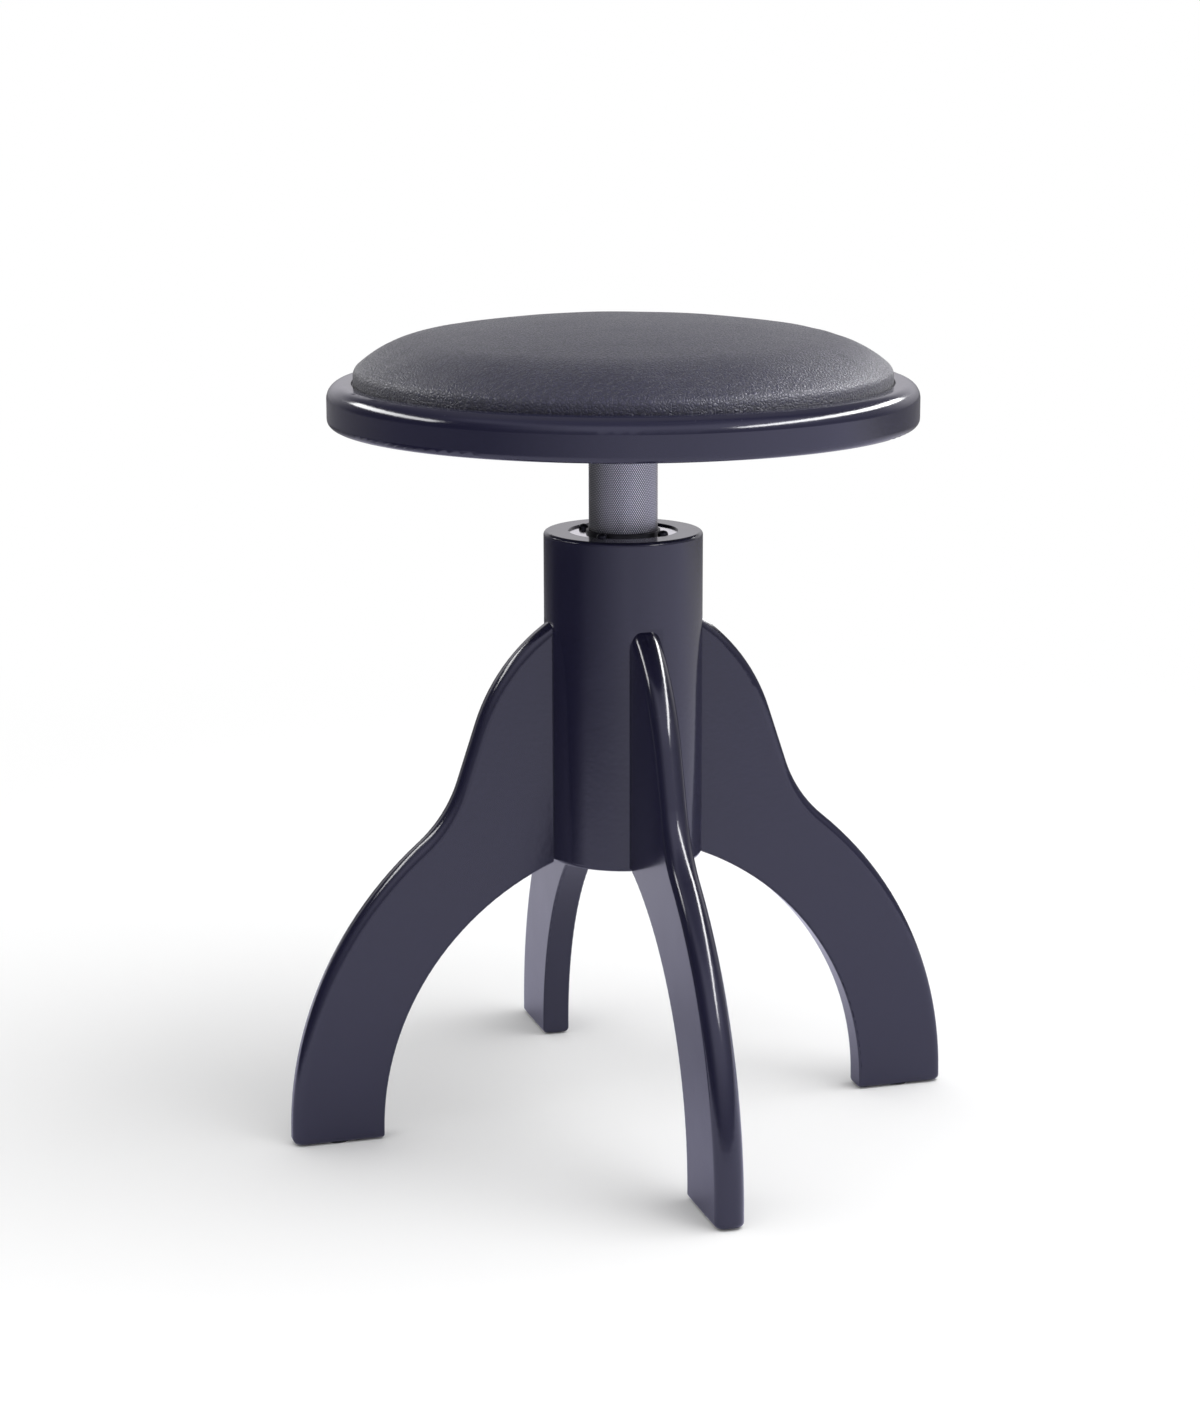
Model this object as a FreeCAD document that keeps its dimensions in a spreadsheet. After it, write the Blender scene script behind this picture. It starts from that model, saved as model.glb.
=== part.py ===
import FreeCAD, Part
import math
import os
import re
import Sketcher

# Piano stool: a round padded seat on a knurled steel post that screws up and down in a wooden column on four
# sabre legs. Millimetres, +Z up, origin on the floor under the column's axis, legs along +X, +Y, -X and -Y.
# The model stands at the seat height that the stool is usually left at, between its two stops.

LEG_LABELS = ("leg_right", "leg_back", "leg_left", "leg_front")

SIZES = {
    # Lacquered wooden seat disc
    "seat_radius": 180.0,
    "seat_thickness": 25.6,
    "seat_top_round": 9.2,
    "seat_under_round": 4.4,
    "seat_rim": 15.4,
    "recess_depth": 3.0,
    "recess_lip_round": 0.8,
    "recess_gap": 0.8,
    # Padded cushion: crown, shoulder and edge are arcs that meet smoothly, and the side goes straight down
    "cushion_rise": 38.0,
    "crown_arc_radius": 731.0,
    "shoulder_arc_radius": 80.0,
    "edge_arc_radius": 7.4,
    "tuck_rise": 4.2,
    "skin": 1.2,
    "hem_width": 22.0,
    "board_thickness": 5.0,
    # Wooden column
    "column_base": 171.0,
    "column_radius": 49.0,
    "column_top_round": 2.4,
    "column_base_round": 3.0,
    # Legs, each cut from board; the arcs run from the column over shoulder, waist and haunch to the foot
    "leg_thickness": 18.0,
    "joint_strip": 1.6,
    "leg_root_height": 149.5,
    "shoulder_radius": 119.0,
    "shoulder_setback": 18.7,
    "waist_lean": 18.4,
    "waist_radius": 83.5,
    "haunch_radius": 236.0,
    "arch_lap": 1.1,
    "arch_height": 6.0,
    "foot_reach": 215.0,
    "foot_width": 57.0,
    "leg_outer_round": 6.0,
    "leg_inner_round": 1.5,
    "sole_round": 3.0,
    "leg_count": len(LEG_LABELS),
    "dowel_radius": 5.0,
    "dowel_length": 40.0,
    "dowel_wall": 3.8,
    "dowel_base_margin": 26.0,
    "dowel_top_margin": 29.5,
    # Nail-in glide under each foot
    "glide_height": 1.0,
    "glide_radius": 7.0,
    "glide_stem_radius": 1.5,
    "glide_stem_length": 12.0,
    # Knurled steel post
    "post_radius": 21.2,
    "post_wall": 2.5,
    "foot_clearance": 3.0,
    "clip_groove_depth": 1.0,
    "clip_thickness": 1.5,
    "clip_rise": 1.1,
    "clip_opening": 9.0,
    # Guide parts in the column
    "ring_margin": 6.0,
    "ring_thickness": 3.0,
    "ring_recess": 1.2,
    "bush_wall": 1.6,
    "bush_length": 31.0,
    "bush_proud": 2.0,
    "bush_flange": 1.8,
    "bush_flange_thickness": 2.0,
    "bush_lip_round": 0.6,
    "liner_clearance": 1.45,
    "liner_wall": 1.5,
    "liner_land": 15.8,
    "plate_radius": 36.0,
    "plate_thickness": 6.0,
    # Stop ring, which climbs with the post and whose lugs meet the ends of the liner's slots
    "stop_height": 18.0,
    "stop_above_foot": 40.0,
    "lug_height": 10.0,
    "lug_width": 6.0,
    "travel_down": 50.0,
    "travel_up": 45.0,
    "stop_gap": 0.5,
    # Screw spindle and its nut
    "spindle_radius": 12.0,
    "spindle_chamfer": 2.0,
    "spindle_spare": 20.0,
    "nut_length": 30.0,
    "nut_above_foot": 2.0,
    "nut_pin_radius": 2.0,
    "nut_pin_depth": 3.8,
    "spindle_screw_radius": 5.0,
    "spindle_screw_length": 22.0,
    "spindle_screw_head": 10.0,
    "key_pin_radius": 2.0,
    "key_pin_length": 9.0,
    "key_pin_bite": 2.0,
    "key_pin_wall": 0.5,
    # Steel plate and collar that carry the seat
    "mount_plate_radius": 65.0,
    "mount_plate_thickness": 5.0,
    "mount_plate_round": 1.5,
    "collar_wall": 4.5,
    "collar_height": 8.0,
    "collar_clearance": 1.9,
    "collar_screw_radius": 2.5,
    "collar_screw_count": 3,
    # Wood screws
    "ring_screw_wall": 1.05,
    "ring_screw_radius": 1.75,
    "ring_screw_length": 22.0,
    "ring_screw_head": 3.2,
    "ring_screw_rise": 3.0,
    "base_screw_edge": 5.5,
    "base_screw_radius": 2.0,
    "base_screw_length": 26.0,
    "base_screw_head": 4.0,
    "plate_screw_edge": 13.0,
    "plate_screw_radius": 2.25,
    "plate_screw_length": 20.0,
    "plate_screw_head": 4.5,
    "plate_screw_rise": 2.8,
    "plate_screw_count": 6,
    "cushion_screw_edge": 52.3,
    "cushion_screw_radius": 2.0,
    "cushion_screw_margin": 1.0,
    "cushion_screw_head": 4.0,
    "screw_count": 4,
    # Clearances
    "fit": 0.05,
    "loose": 0.2,
    "soft_gap": 0.3,
}

FULL_TURN = 360
BETWEEN_LEGS = FULL_TURN / len(LEG_LABELS) / 2
SMALL = 1e-4
CLEARLY_OFF = 1.0
# A raised screw head in steps: upright side, shoulder and crown, as shares of its rise and of its radius
HEAD_SIDE_RISE = 0.45
HEAD_SHOULDER_RISE = 0.88
HEAD_SHOULDER_RADIUS = 0.72
HEAD_CROWN_RADIUS = 0.35

# Radii that several pieces share
BUSH_RADIUS = "(post_radius + fit + bush_wall)"
BUSH_FLANGE_RADIUS = f"({BUSH_RADIUS} + bush_flange)"
RING_SCREW_AXIS = f"({BUSH_FLANGE_RADIUS} + fit + ring_screw_wall + ring_screw_radius)"
RING_RADIUS = f"({RING_SCREW_AXIS} + ring_margin)"
LINER_BORE = "(post_radius + liner_clearance)"
LINER_RADIUS = f"({LINER_BORE} + liner_wall)"
POST_BORE = "(post_radius - post_wall)"
CLIP_RADIUS = "(post_radius + clip_rise)"
BASE_SCREW_AXIS = "(plate_radius - base_screw_edge)"
KEY_OFFSET = "(spindle_screw_head - plate_thickness + key_pin_bite + key_pin_radius + key_pin_wall)"
COLLAR_RADIUS = "(post_radius + fit + collar_wall)"
PLATE_SCREW_AXIS = "(mount_plate_radius - plate_screw_edge)"
RECESS_RADIUS = "(seat_radius - seat_rim)"
TUCK_RADIUS = f"({RECESS_RADIUS} - recess_gap)"
BOARD_RADIUS = f"({TUCK_RADIUS} - skin - soft_gap)"
CUSHION_SCREW_AXIS = f"({BOARD_RADIUS} - cushion_screw_edge)"
EDGE_CENTRE = f"({TUCK_RADIUS} - edge_arc_radius)"

# Levels, upwards from the column's base: the travel and the pieces round the post set the column's height
PLATE_TOP = "(column_base + plate_thickness)"
POST_FOOT = f"({PLATE_TOP} + foot_clearance + travel_down)"
NUT_BASE = f"({POST_FOOT} + nut_above_foot)"
NUT_MIDDLE = f"({NUT_BASE} + nut_length / 2)"
SPINDLE_TOP = f"({NUT_BASE} + nut_length + travel_up + spindle_spare)"
STOP_BASE = f"({POST_FOOT} + stop_above_foot)"
STOP_TOP = f"({STOP_BASE} + stop_height)"
LUG_BASE = f"({STOP_BASE} + (stop_height - lug_height) / 2)"
SLOT_BASE = f"({LUG_BASE} - travel_down - stop_gap)"
SLOT_TOP = f"({LUG_BASE} + lug_height + travel_up + stop_gap)"
BUSH_BASE = f"({SLOT_TOP} + liner_land)"
BUSH_TOP = f"({BUSH_BASE} + bush_length)"
RING_TOP = f"({BUSH_TOP} - bush_proud)"
RING_BASE = f"({RING_TOP} - ring_thickness)"
BUSH_FLANGE_BASE = f"({RING_BASE} - bush_flange_thickness)"
COLUMN_TOP = f"({RING_TOP} + ring_recess)"
COLLAR_BASE = f"({RING_TOP} + ring_screw_rise + collar_clearance + travel_down)"
MOUNT_BASE = f"({COLLAR_BASE} + collar_height)"
SEAT_BASE = f"({MOUNT_BASE} + mount_plate_thickness)"
POST_TOP = f"({SEAT_BASE} - loose)"
SEAT_TOP = f"({SEAT_BASE} + seat_thickness)"
RECESS_FLOOR = f"({SEAT_TOP} - recess_depth)"
BOARD_BASE = f"({RECESS_FLOOR} + skin)"
BOARD_TOP = f"({BOARD_BASE} + board_thickness)"
TUCK_TOP = f"({SEAT_TOP} + tuck_rise)"
CUSHION_TOP = f"({SEAT_TOP} + cushion_rise)"

# The legs' own radii and levels
ROOT_FACE = "sqrt(column_radius^2 - (leg_thickness / 2 + joint_strip)^2)"
LEG_ROOT_TOP = "(column_base + leg_root_height)"
LEG_ROOT_BASE = "(column_base - arch_lap)"
FOOT_INNER = "(foot_reach - foot_width)"
FOOT_MIDDLE = "(foot_reach - foot_width / 2)"
ARCH_SPAN = f"({FOOT_INNER} - {ROOT_FACE})"
ARCH_RADIUS = f"(({ARCH_SPAN}^2 + ({LEG_ROOT_BASE} - arch_height)^2) / (2 * {ARCH_SPAN}))"
DOWEL_START = f"({LINER_RADIUS} + fit + dowel_wall)"
DOWEL_PITCH = "((leg_root_height - dowel_base_margin - dowel_top_margin) / 2)"
DOWEL_LEVELS = [f"(column_base + dowel_base_margin + {step} * {DOWEL_PITCH})" for step in range(3)]

doc = FreeCAD.newDocument("PianoStool")
sheet = doc.addObject("Spreadsheet::Sheet", "Sizes")
for row, (name, value) in enumerate(SIZES.items(), 1):
    sheet.set(f"A{row}", name)
    sheet.set(f"B{row}", str(value))
    sheet.setAlias(f"B{row}", name)
doc.recompute()


def tied(text):
    """Formula over the sheet's names, in the form that a property takes."""
    return re.sub(r"[a-z_]+", lambda word: ("Sizes." if word.group() in SIZES else "") + word.group(), str(text))


def amount(text):
    """Present value of a formula."""
    result = sheet.evalExpression(tied(text))
    return float(getattr(result, "Value", result))


def new_body(label, turned=0):
    """Body of one sub-part, turned about the column's axis."""
    body = doc.addObject("PartDesign::Body", label)
    body.Label = label
    body.AllowCompound = True
    body.Placement = FreeCAD.Placement(FreeCAD.Vector(), FreeCAD.Rotation(FreeCAD.Vector(0, 0, 1), turned))
    return body


def origin_feature(body, role):
    """Plane or axis of a body's own origin."""
    return next(item for item in body.Origin.OriginFeatures if item.Role == role)


def new_sketch(body, role, offset=None):
    """Sketch on one of the body's origin planes, or at a distance from it."""
    sketch = body.newObject("Sketcher::SketchObject", body.Name + "_sketch")
    sketch.AttachmentSupport = [(origin_feature(body, role), "")]
    sketch.MapMode = "FlatFace"
    if offset is not None:
        sketch.setExpression("AttachmentOffset.Base.z", tied(offset))
    doc.recompute()
    return sketch


def dimension(sketch, constraint, text):
    """Adds a dimension that follows a formula."""
    index = sketch.addConstraint(constraint)
    sketch.setExpression(f"Constraints[{index}]", tied(text))


def place_point(sketch, edge, end, x, y):
    """Holds an edge's end or centre at x and y, each a formula."""
    for kind, text, axis in (("DistanceX", x, -2), ("DistanceY", y, -1)):
        if abs(amount(text)) < SMALL:
            sketch.addConstraint(Sketcher.Constraint("PointOnObject", edge, end, axis))
        else:
            dimension(sketch, Sketcher.Constraint(kind, -1, 1, edge, end, amount(text)), text)


def draw_outline(sketch, corners):
    """Closed run of straight edges through corners, each a pair of formulas."""
    points = [FreeCAD.Vector(amount(x), amount(y), 0) for x, y in corners]
    count = len(points)
    edges = [Part.LineSegment(points[i], points[(i + 1) % count]) for i in range(count)]
    first = list(sketch.addGeometry(edges, False))[0]
    for i, (x, y) in enumerate(corners):
        after = first + (i + 1) % count
        sketch.addConstraint(Sketcher.Constraint("Coincident", first + i, 2, after, 1))
        place_point(sketch, first + i, 1, x, y)


def draw_circle(sketch, x, y, radius):
    """Circle with its centre and radius held by formulas."""
    centre = FreeCAD.Vector(amount(x), amount(y), 0)
    index = sketch.addGeometry(Part.Circle(centre, FreeCAD.Vector(0, 0, 1), amount(radius)), False)
    place_point(sketch, index, 3, x, y)
    dimension(sketch, Sketcher.Constraint("Radius", index, amount(radius)), radius)


def draw_axis(sketch, x):
    """Upright construction line from the floor at x, for pieces that are round about their own axis."""
    ends = [FreeCAD.Vector(amount(x), amount(y), 0) for y in ("0", "column_base")]
    index = sketch.addGeometry(Part.LineSegment(*ends), True)
    place_point(sketch, index, 1, x, "0")
    place_point(sketch, index, 2, x, "column_base")


def turn(body, sketch, axis="V_Axis", cut=False):
    """Full turn of a sketch, added to the body or cut from it."""
    kind = "PartDesign::Groove" if cut else "PartDesign::Revolution"
    feature = body.newObject(kind, body.Name + "_turned")
    feature.Profile = sketch
    feature.ReferenceAxis = (sketch, [axis])
    feature.Angle = FULL_TURN
    doc.recompute()
    return feature


def extrude(body, sketch, length, cut=False, backwards=False, both_ways=False):
    """Straight pad or pocket of a sketch."""
    kind = "PartDesign::Pocket" if cut else "PartDesign::Pad"
    feature = body.newObject(kind, body.Name + ("_cut" if cut else "_pad"))
    feature.Profile = sketch
    feature.Reversed = backwards
    if both_ways:
        feature.SideType = "Symmetric"
    feature.setExpression("Length", tied(length))
    doc.recompute()
    return feature


def repeat(body, feature, count):
    """The same feature all round the column's axis."""
    pattern = body.newObject("PartDesign::PolarPattern", body.Name + "_around")
    pattern.Originals = [feature]
    pattern.Axis = (origin_feature(body, "Z_Axis"), [""])
    pattern.Angle = FULL_TURN
    pattern.setExpression("Occurrences", tied(count))
    body.Tip = pattern
    doc.recompute()


def round_edges(body, radius, wanted):
    """Fillet on the edges whose middle point passes a test."""
    base = body.Tip
    names = []
    for number, edge in enumerate(base.Shape.Edges, 1):
        if wanted(edge.valueAt((edge.FirstParameter + edge.LastParameter) / 2)):
            names.append(f"Edge{number}")
    fillet = body.newObject("PartDesign::Fillet", body.Name + "_round")
    fillet.Base = (base, names)
    fillet.setExpression("Radius", tied(radius))
    doc.recompute()


def rim_at(radius, level):
    """Test for the circular edge of a given radius and height."""
    goal_radius = amount(radius)
    goal_level = amount(level)
    return lambda p: abs(math.hypot(p.x, p.y) - goal_radius) < SMALL and abs(p.z - goal_level) < SMALL


def turned_part(label, *outlines):
    """Body turned about the column's axis from one or more outlines."""
    body = new_body(label)
    sketch = new_sketch(body, "XZ_Plane")
    for corners in outlines:
        draw_outline(sketch, corners)
    turn(body, sketch)
    return body


def box_outline(left, right, low, high):
    """Rectangle, which turns into a tube or ring."""
    return [(left, low), (right, low), (right, high), (left, high)]


def raised_head(radius, base, rise, upwards=True):
    """Radius and height pairs of a screw's raised head, from its seat to its crown."""
    sign = "+" if upwards else "-"
    return [
        (radius, base),
        (radius, f"{base} {sign} {rise} * {HEAD_SIDE_RISE}"),
        (f"{radius} * {HEAD_SHOULDER_RADIUS}", f"{base} {sign} {rise} * {HEAD_SHOULDER_RISE}"),
        (f"{radius} * {HEAD_CROWN_RADIUS}", f"{base} {sign} {rise}"),
    ]


def sunk_head(head, radius, base):
    """Radius and height pairs of a countersunk head, flush at its base and at 45 degrees."""
    return [(head, base), (radius, f"{base} + ({head} - {radius})")]


def fastener_outline(axis, profile):
    """Half outline of a round fastener about x = axis; profile holds radius and height pairs."""
    first_height = profile[0][1]
    last_height = profile[-1][1]
    side = [(f"{axis} + {radius}", height) for radius, height in profile]
    return [(axis, first_height)] + side + [(axis, last_height)]


def fasteners(label, axis, profile, count=None, turned=0):
    """One round fastener, or a group of them set around the column's axis, each a solid of its own."""
    body = new_body(label, turned)
    sketch = new_sketch(body, "XZ_Plane")
    draw_axis(sketch, axis)
    draw_outline(sketch, fastener_outline(axis, profile))
    feature = turn(body, sketch, "Axis0")
    if count:
        repeat(body, feature, count)


def fastener_holes(body, axis, profile, count=None, bearing=0):
    """Hole for one such fastener, or the holes for a group."""
    sketch = new_sketch(body, "XZ_Plane")
    turned = FreeCAD.Rotation(FreeCAD.Vector(0, 1, 0), bearing)
    sketch.AttachmentOffset = FreeCAD.Placement(FreeCAD.Vector(), turned)
    draw_axis(sketch, axis)
    draw_outline(sketch, fastener_outline(axis, profile))
    feature = turn(body, sketch, "Axis0", cut=True)
    if count:
        repeat(body, feature, count)


def widened(profile, gap="fit"):
    """A fastener's profile with a clearance on its radius."""
    return [(f"{radius} + {gap}", height) for radius, height in profile]


def radial_holes(body, plane, circles, start, length, backwards=True):
    """Pocket of circles, each x, y and radius, that runs outwards from a distance off the axis."""
    sketch = new_sketch(body, plane, start)
    for x, y, radius in circles:
        draw_circle(sketch, x, y, radius)
    return extrude(body, sketch, length, cut=True, backwards=backwards)


# Fastener profiles: pairs of radius and height, from one end to the other
RING_SCREW = [
    ("ring_screw_radius", f"{RING_TOP} - ring_screw_length"),
    ("ring_screw_radius", RING_TOP),
] + raised_head("ring_screw_head", RING_TOP, "ring_screw_rise")
PLATE_SCREW = [
    ("plate_screw_radius", f"{MOUNT_BASE} + plate_screw_length"),
    ("plate_screw_radius", MOUNT_BASE),
] + raised_head("plate_screw_head", MOUNT_BASE, "plate_screw_rise", upwards=False)
BASE_SCREW = sunk_head("base_screw_head", "base_screw_radius", "column_base") + [
    ("base_screw_radius", "column_base + base_screw_length"),
]
CUSHION_SCREW = sunk_head("cushion_screw_head", "cushion_screw_radius", SEAT_BASE) + [
    ("cushion_screw_radius", f"{BOARD_TOP} - cushion_screw_margin"),
]
SPINDLE_SCREW = sunk_head("spindle_screw_head", "spindle_screw_radius", "column_base") + [
    ("spindle_screw_radius", "column_base + spindle_screw_length"),
]
GLIDE = [
    ("glide_radius", "0"),
    ("glide_radius", "glide_height"),
    ("glide_stem_radius", "glide_height"),
    ("glide_stem_radius", "glide_height + glide_stem_length"),
]


def make_column():
    """Turned wooden column with a stepped bore, four flats for the legs and holes for dowels and screws."""
    column = turned_part("column", [
        ("column_radius", "column_base"),
        ("column_radius", COLUMN_TOP),
        (f"{RING_RADIUS} + loose", COLUMN_TOP),
        (f"{RING_RADIUS} + loose", RING_BASE),
        (f"{BUSH_FLANGE_RADIUS} + fit", RING_BASE),
        (f"{BUSH_FLANGE_RADIUS} + fit", BUSH_FLANGE_BASE),
        (f"{BUSH_RADIUS} + fit", BUSH_FLANGE_BASE),
        (f"{BUSH_RADIUS} + fit", BUSH_BASE),
        (f"{LINER_RADIUS} + fit", BUSH_BASE),
        (f"{LINER_RADIUS} + fit", PLATE_TOP),
        ("plate_radius + fit", PLATE_TOP),
        ("plate_radius + fit", "column_base"),
    ])
    round_edges(column, "column_top_round", rim_at("column_radius", COLUMN_TOP))
    round_edges(column, "column_base_round", rim_at("column_radius", "column_base"))
    flats = new_sketch(column, "YZ_Plane", ROOT_FACE)
    half_width = "(leg_thickness / 2 + joint_strip)"
    flat_top = f"{LEG_ROOT_TOP} + joint_strip"
    draw_outline(flats, box_outline(f"-{half_width}", half_width, "column_base - loose", flat_top))
    flat = extrude(column, flats, "column_radius", cut=True, backwards=True)
    repeat(column, flat, "leg_count")
    circles = [("0", level, "dowel_radius + fit") for level in DOWEL_LEVELS]
    repeat(column, radial_holes(column, "YZ_Plane", circles, DOWEL_START, "column_radius"), "leg_count")
    fastener_holes(column, RING_SCREW_AXIS, widened(RING_SCREW[:2]), "screw_count", BETWEEN_LEGS)
    base_hole = widened([("base_screw_radius", "column_base"), BASE_SCREW[-1]])
    fastener_holes(column, BASE_SCREW_AXIS, base_hole, "screw_count", BETWEEN_LEGS)


def draw_leg(sketch):
    """Side view of a leg: four arcs and five straight runs, tangent where the leg flows on."""
    root = amount(ROOT_FACE)
    foot_outer = amount("foot_reach")
    foot_inner = amount(FOOT_INNER)
    arch_height = amount("arch_height")
    sole = amount("glide_height")
    shoulder = amount("shoulder_radius")
    waist = amount("waist_radius")
    haunch = amount("haunch_radius")
    arch = amount(ARCH_RADIUS)
    lean = math.radians(amount("waist_lean"))
    outwards = FreeCAD.Vector(math.cos(lean), math.sin(lean), 0)
    downwards = FreeCAD.Vector(math.sin(lean), -math.cos(lean), 0)
    setback = amount("shoulder_setback")
    root_top = FreeCAD.Vector(root, amount(LEG_ROOT_TOP), 0)
    root_base = FreeCAD.Vector(root, amount(LEG_ROOT_BASE), 0)
    shoulder_z = root_top.y - math.sqrt(shoulder ** 2 - (root + setback) ** 2)
    shoulder_centre = FreeCAD.Vector(-setback, shoulder_z, 0)
    haunch_centre = FreeCAD.Vector(foot_outer - haunch, arch_height, 0)
    arch_centre = FreeCAD.Vector(foot_inner - arch, arch_height, 0)
    run_start = shoulder_centre + outwards * shoulder
    reach = run_start + outwards * waist - haunch_centre
    along = reach.dot(downwards)
    run_length = -along - math.sqrt(along ** 2 - reach.dot(reach) + (waist + haunch) ** 2)
    run_end = run_start + downwards * run_length
    waist_centre = run_end + outwards * waist
    towards = (haunch_centre - waist_centre).normalize()

    def bearing(centre, point):
        return math.atan2(point.y - centre.y, point.x - centre.x)

    def arc(centre, radius, start, end):
        return Part.ArcOfCircle(Part.Circle(centre, FreeCAD.Vector(0, 0, 1), radius), start, end)

    full_turn = 2 * math.pi
    sketch.addGeometry([
        Part.LineSegment(root_base, root_top),
        arc(shoulder_centre, shoulder, lean, bearing(shoulder_centre, root_top)),
        Part.LineSegment(run_start, run_end),
        arc(waist_centre, waist, math.pi + lean, math.atan2(towards.y, towards.x) % full_turn),
        arc(haunch_centre, haunch, 0, math.atan2(-towards.y, -towards.x)),
        Part.LineSegment(FreeCAD.Vector(foot_outer, arch_height, 0), FreeCAD.Vector(foot_outer, sole, 0)),
        Part.LineSegment(FreeCAD.Vector(foot_outer, sole, 0), FreeCAD.Vector(foot_inner, sole, 0)),
        Part.LineSegment(FreeCAD.Vector(foot_inner, sole, 0), FreeCAD.Vector(foot_inner, arch_height, 0)),
        arc(arch_centre, arch, 0, bearing(arch_centre, root_base)),
    ], False)
    joins = [
        ("Coincident", 0, 2, 1, 2),
        ("Tangent", 1, 1, 2, 1),
        ("Tangent", 2, 2, 3, 1),
        ("Tangent", 3, 2, 4, 2),
        ("Tangent", 4, 1, 5, 1),
        ("Coincident", 5, 2, 6, 1),
        ("Coincident", 6, 2, 7, 1),
        ("Tangent", 7, 2, 8, 1),
        ("Coincident", 8, 2, 0, 1),
        ("Vertical", 0),
        ("Vertical", 5),
        ("Horizontal", 6),
        ("Vertical", 7),
    ]
    for join in joins:
        sketch.addConstraint(Sketcher.Constraint(*join))
    for edge, radius in ((1, "shoulder_radius"), (3, "waist_radius"), (4, "haunch_radius")):
        dimension(sketch, Sketcher.Constraint("Radius", edge, amount(radius)), radius)
    place_point(sketch, 0, 2, ROOT_FACE, LEG_ROOT_TOP)
    dimension(sketch, Sketcher.Constraint("DistanceY", -1, 1, 0, 1, root_base.y), LEG_ROOT_BASE)
    dimension(sketch, Sketcher.Constraint("DistanceX", 1, 3, -1, 1, setback), "shoulder_setback")
    dimension(sketch, Sketcher.Constraint("Angle", 2, lean - math.pi / 2), "(waist_lean - 90) * 1 deg")
    place_point(sketch, 5, 1, "foot_reach", "arch_height")
    dimension(sketch, Sketcher.Constraint("DistanceY", -1, 1, 5, 2, sole), "glide_height")
    place_point(sketch, 8, 1, FOOT_INNER, "arch_height")
    doc.recompute()


def make_leg(label, turned):
    """Sabre leg, its outer edge well rounded on both sides and its arch left crisp."""
    leg = new_body(label, turned)
    side_view = new_sketch(leg, "XZ_Plane")
    draw_leg(side_view)
    extrude(leg, side_view, "leg_thickness", both_ways=True)
    half = amount("leg_thickness") / 2
    root = amount(ROOT_FACE)
    sole = amount("glide_height")
    foot_inner = amount(FOOT_INNER)
    arch = amount(ARCH_RADIUS)
    arch_height = amount("arch_height")

    def from_arch(p):
        """Distance of a point from the arch's face."""
        if p.z <= arch_height:
            return p.x - foot_inner
        return math.hypot(p.x - foot_inner + arch, p.z - arch_height) - arch

    def on_outer_edge(p):
        off_root = p.x > root + CLEARLY_OFF and from_arch(p) > CLEARLY_OFF
        return abs(p.y) > half - SMALL and p.z > sole + SMALL and off_root

    def on_sole(p):
        return abs(p.z - sole) < SMALL and from_arch(p) > SMALL

    def on_arch_edge(p):
        beside = abs(p.y) > SMALL or abs(p.z - sole) < SMALL
        return abs(from_arch(p)) < SMALL and beside and p.x > root + SMALL

    round_edges(leg, "leg_outer_round", on_outer_edge)
    round_edges(leg, "sole_round", on_sole)
    round_edges(leg, "leg_inner_round", on_arch_edge)
    circles = [("0", level, "dowel_radius + fit") for level in DOWEL_LEVELS]
    radial_holes(leg, "YZ_Plane", circles, "0", f"{DOWEL_START} + dowel_length + loose")
    stem = new_sketch(leg, "XY_Plane")
    draw_circle(stem, FOOT_MIDDLE, "0", "glide_stem_radius + fit")
    extrude(leg, stem, "glide_height + glide_stem_length + loose", cut=True, backwards=True)


def make_dowels():
    """Three dowels behind each leg, half in the column and half in the leg."""
    dowels = new_body("leg_dowels")
    sketch = new_sketch(dowels, "YZ_Plane", DOWEL_START)
    for level in DOWEL_LEVELS:
        draw_circle(sketch, "0", level, "dowel_radius")
    repeat(dowels, extrude(dowels, sketch, "dowel_length"), "leg_count")


def make_guide():
    """Plated ring, black bush and steel liner that guide the post in the column."""
    ring = turned_part("guide_ring", box_outline(f"{BUSH_RADIUS} + fit", RING_RADIUS, RING_BASE, RING_TOP))
    hole = [("ring_screw_radius", f"{RING_BASE} - loose"), ("ring_screw_radius", f"{RING_TOP} + loose")]
    fastener_holes(ring, RING_SCREW_AXIS, widened(hole), "screw_count", BETWEEN_LEGS)
    bush = turned_part("guide_bush", [
        ("post_radius + fit", BUSH_BASE),
        (BUSH_RADIUS, BUSH_BASE),
        (BUSH_RADIUS, BUSH_FLANGE_BASE),
        (BUSH_FLANGE_RADIUS, BUSH_FLANGE_BASE),
        (BUSH_FLANGE_RADIUS, RING_BASE),
        (BUSH_RADIUS, RING_BASE),
        (BUSH_RADIUS, BUSH_TOP),
        ("post_radius + fit", BUSH_TOP),
    ])
    round_edges(bush, "bush_lip_round", rim_at(BUSH_RADIUS, BUSH_TOP))
    liner = turned_part("guide_liner", box_outline(LINER_BORE, LINER_RADIUS, PLATE_TOP, BUSH_BASE))
    slot = new_sketch(liner, "YZ_Plane")
    half_width = "(lug_width / 2 + loose)"
    draw_outline(slot, box_outline(f"-{half_width}", half_width, SLOT_BASE, SLOT_TOP))
    extrude(liner, slot, "2 * column_radius", cut=True, both_ways=True)
    fasteners("ring_screws", RING_SCREW_AXIS, RING_SCREW, "screw_count", BETWEEN_LEGS)


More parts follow.
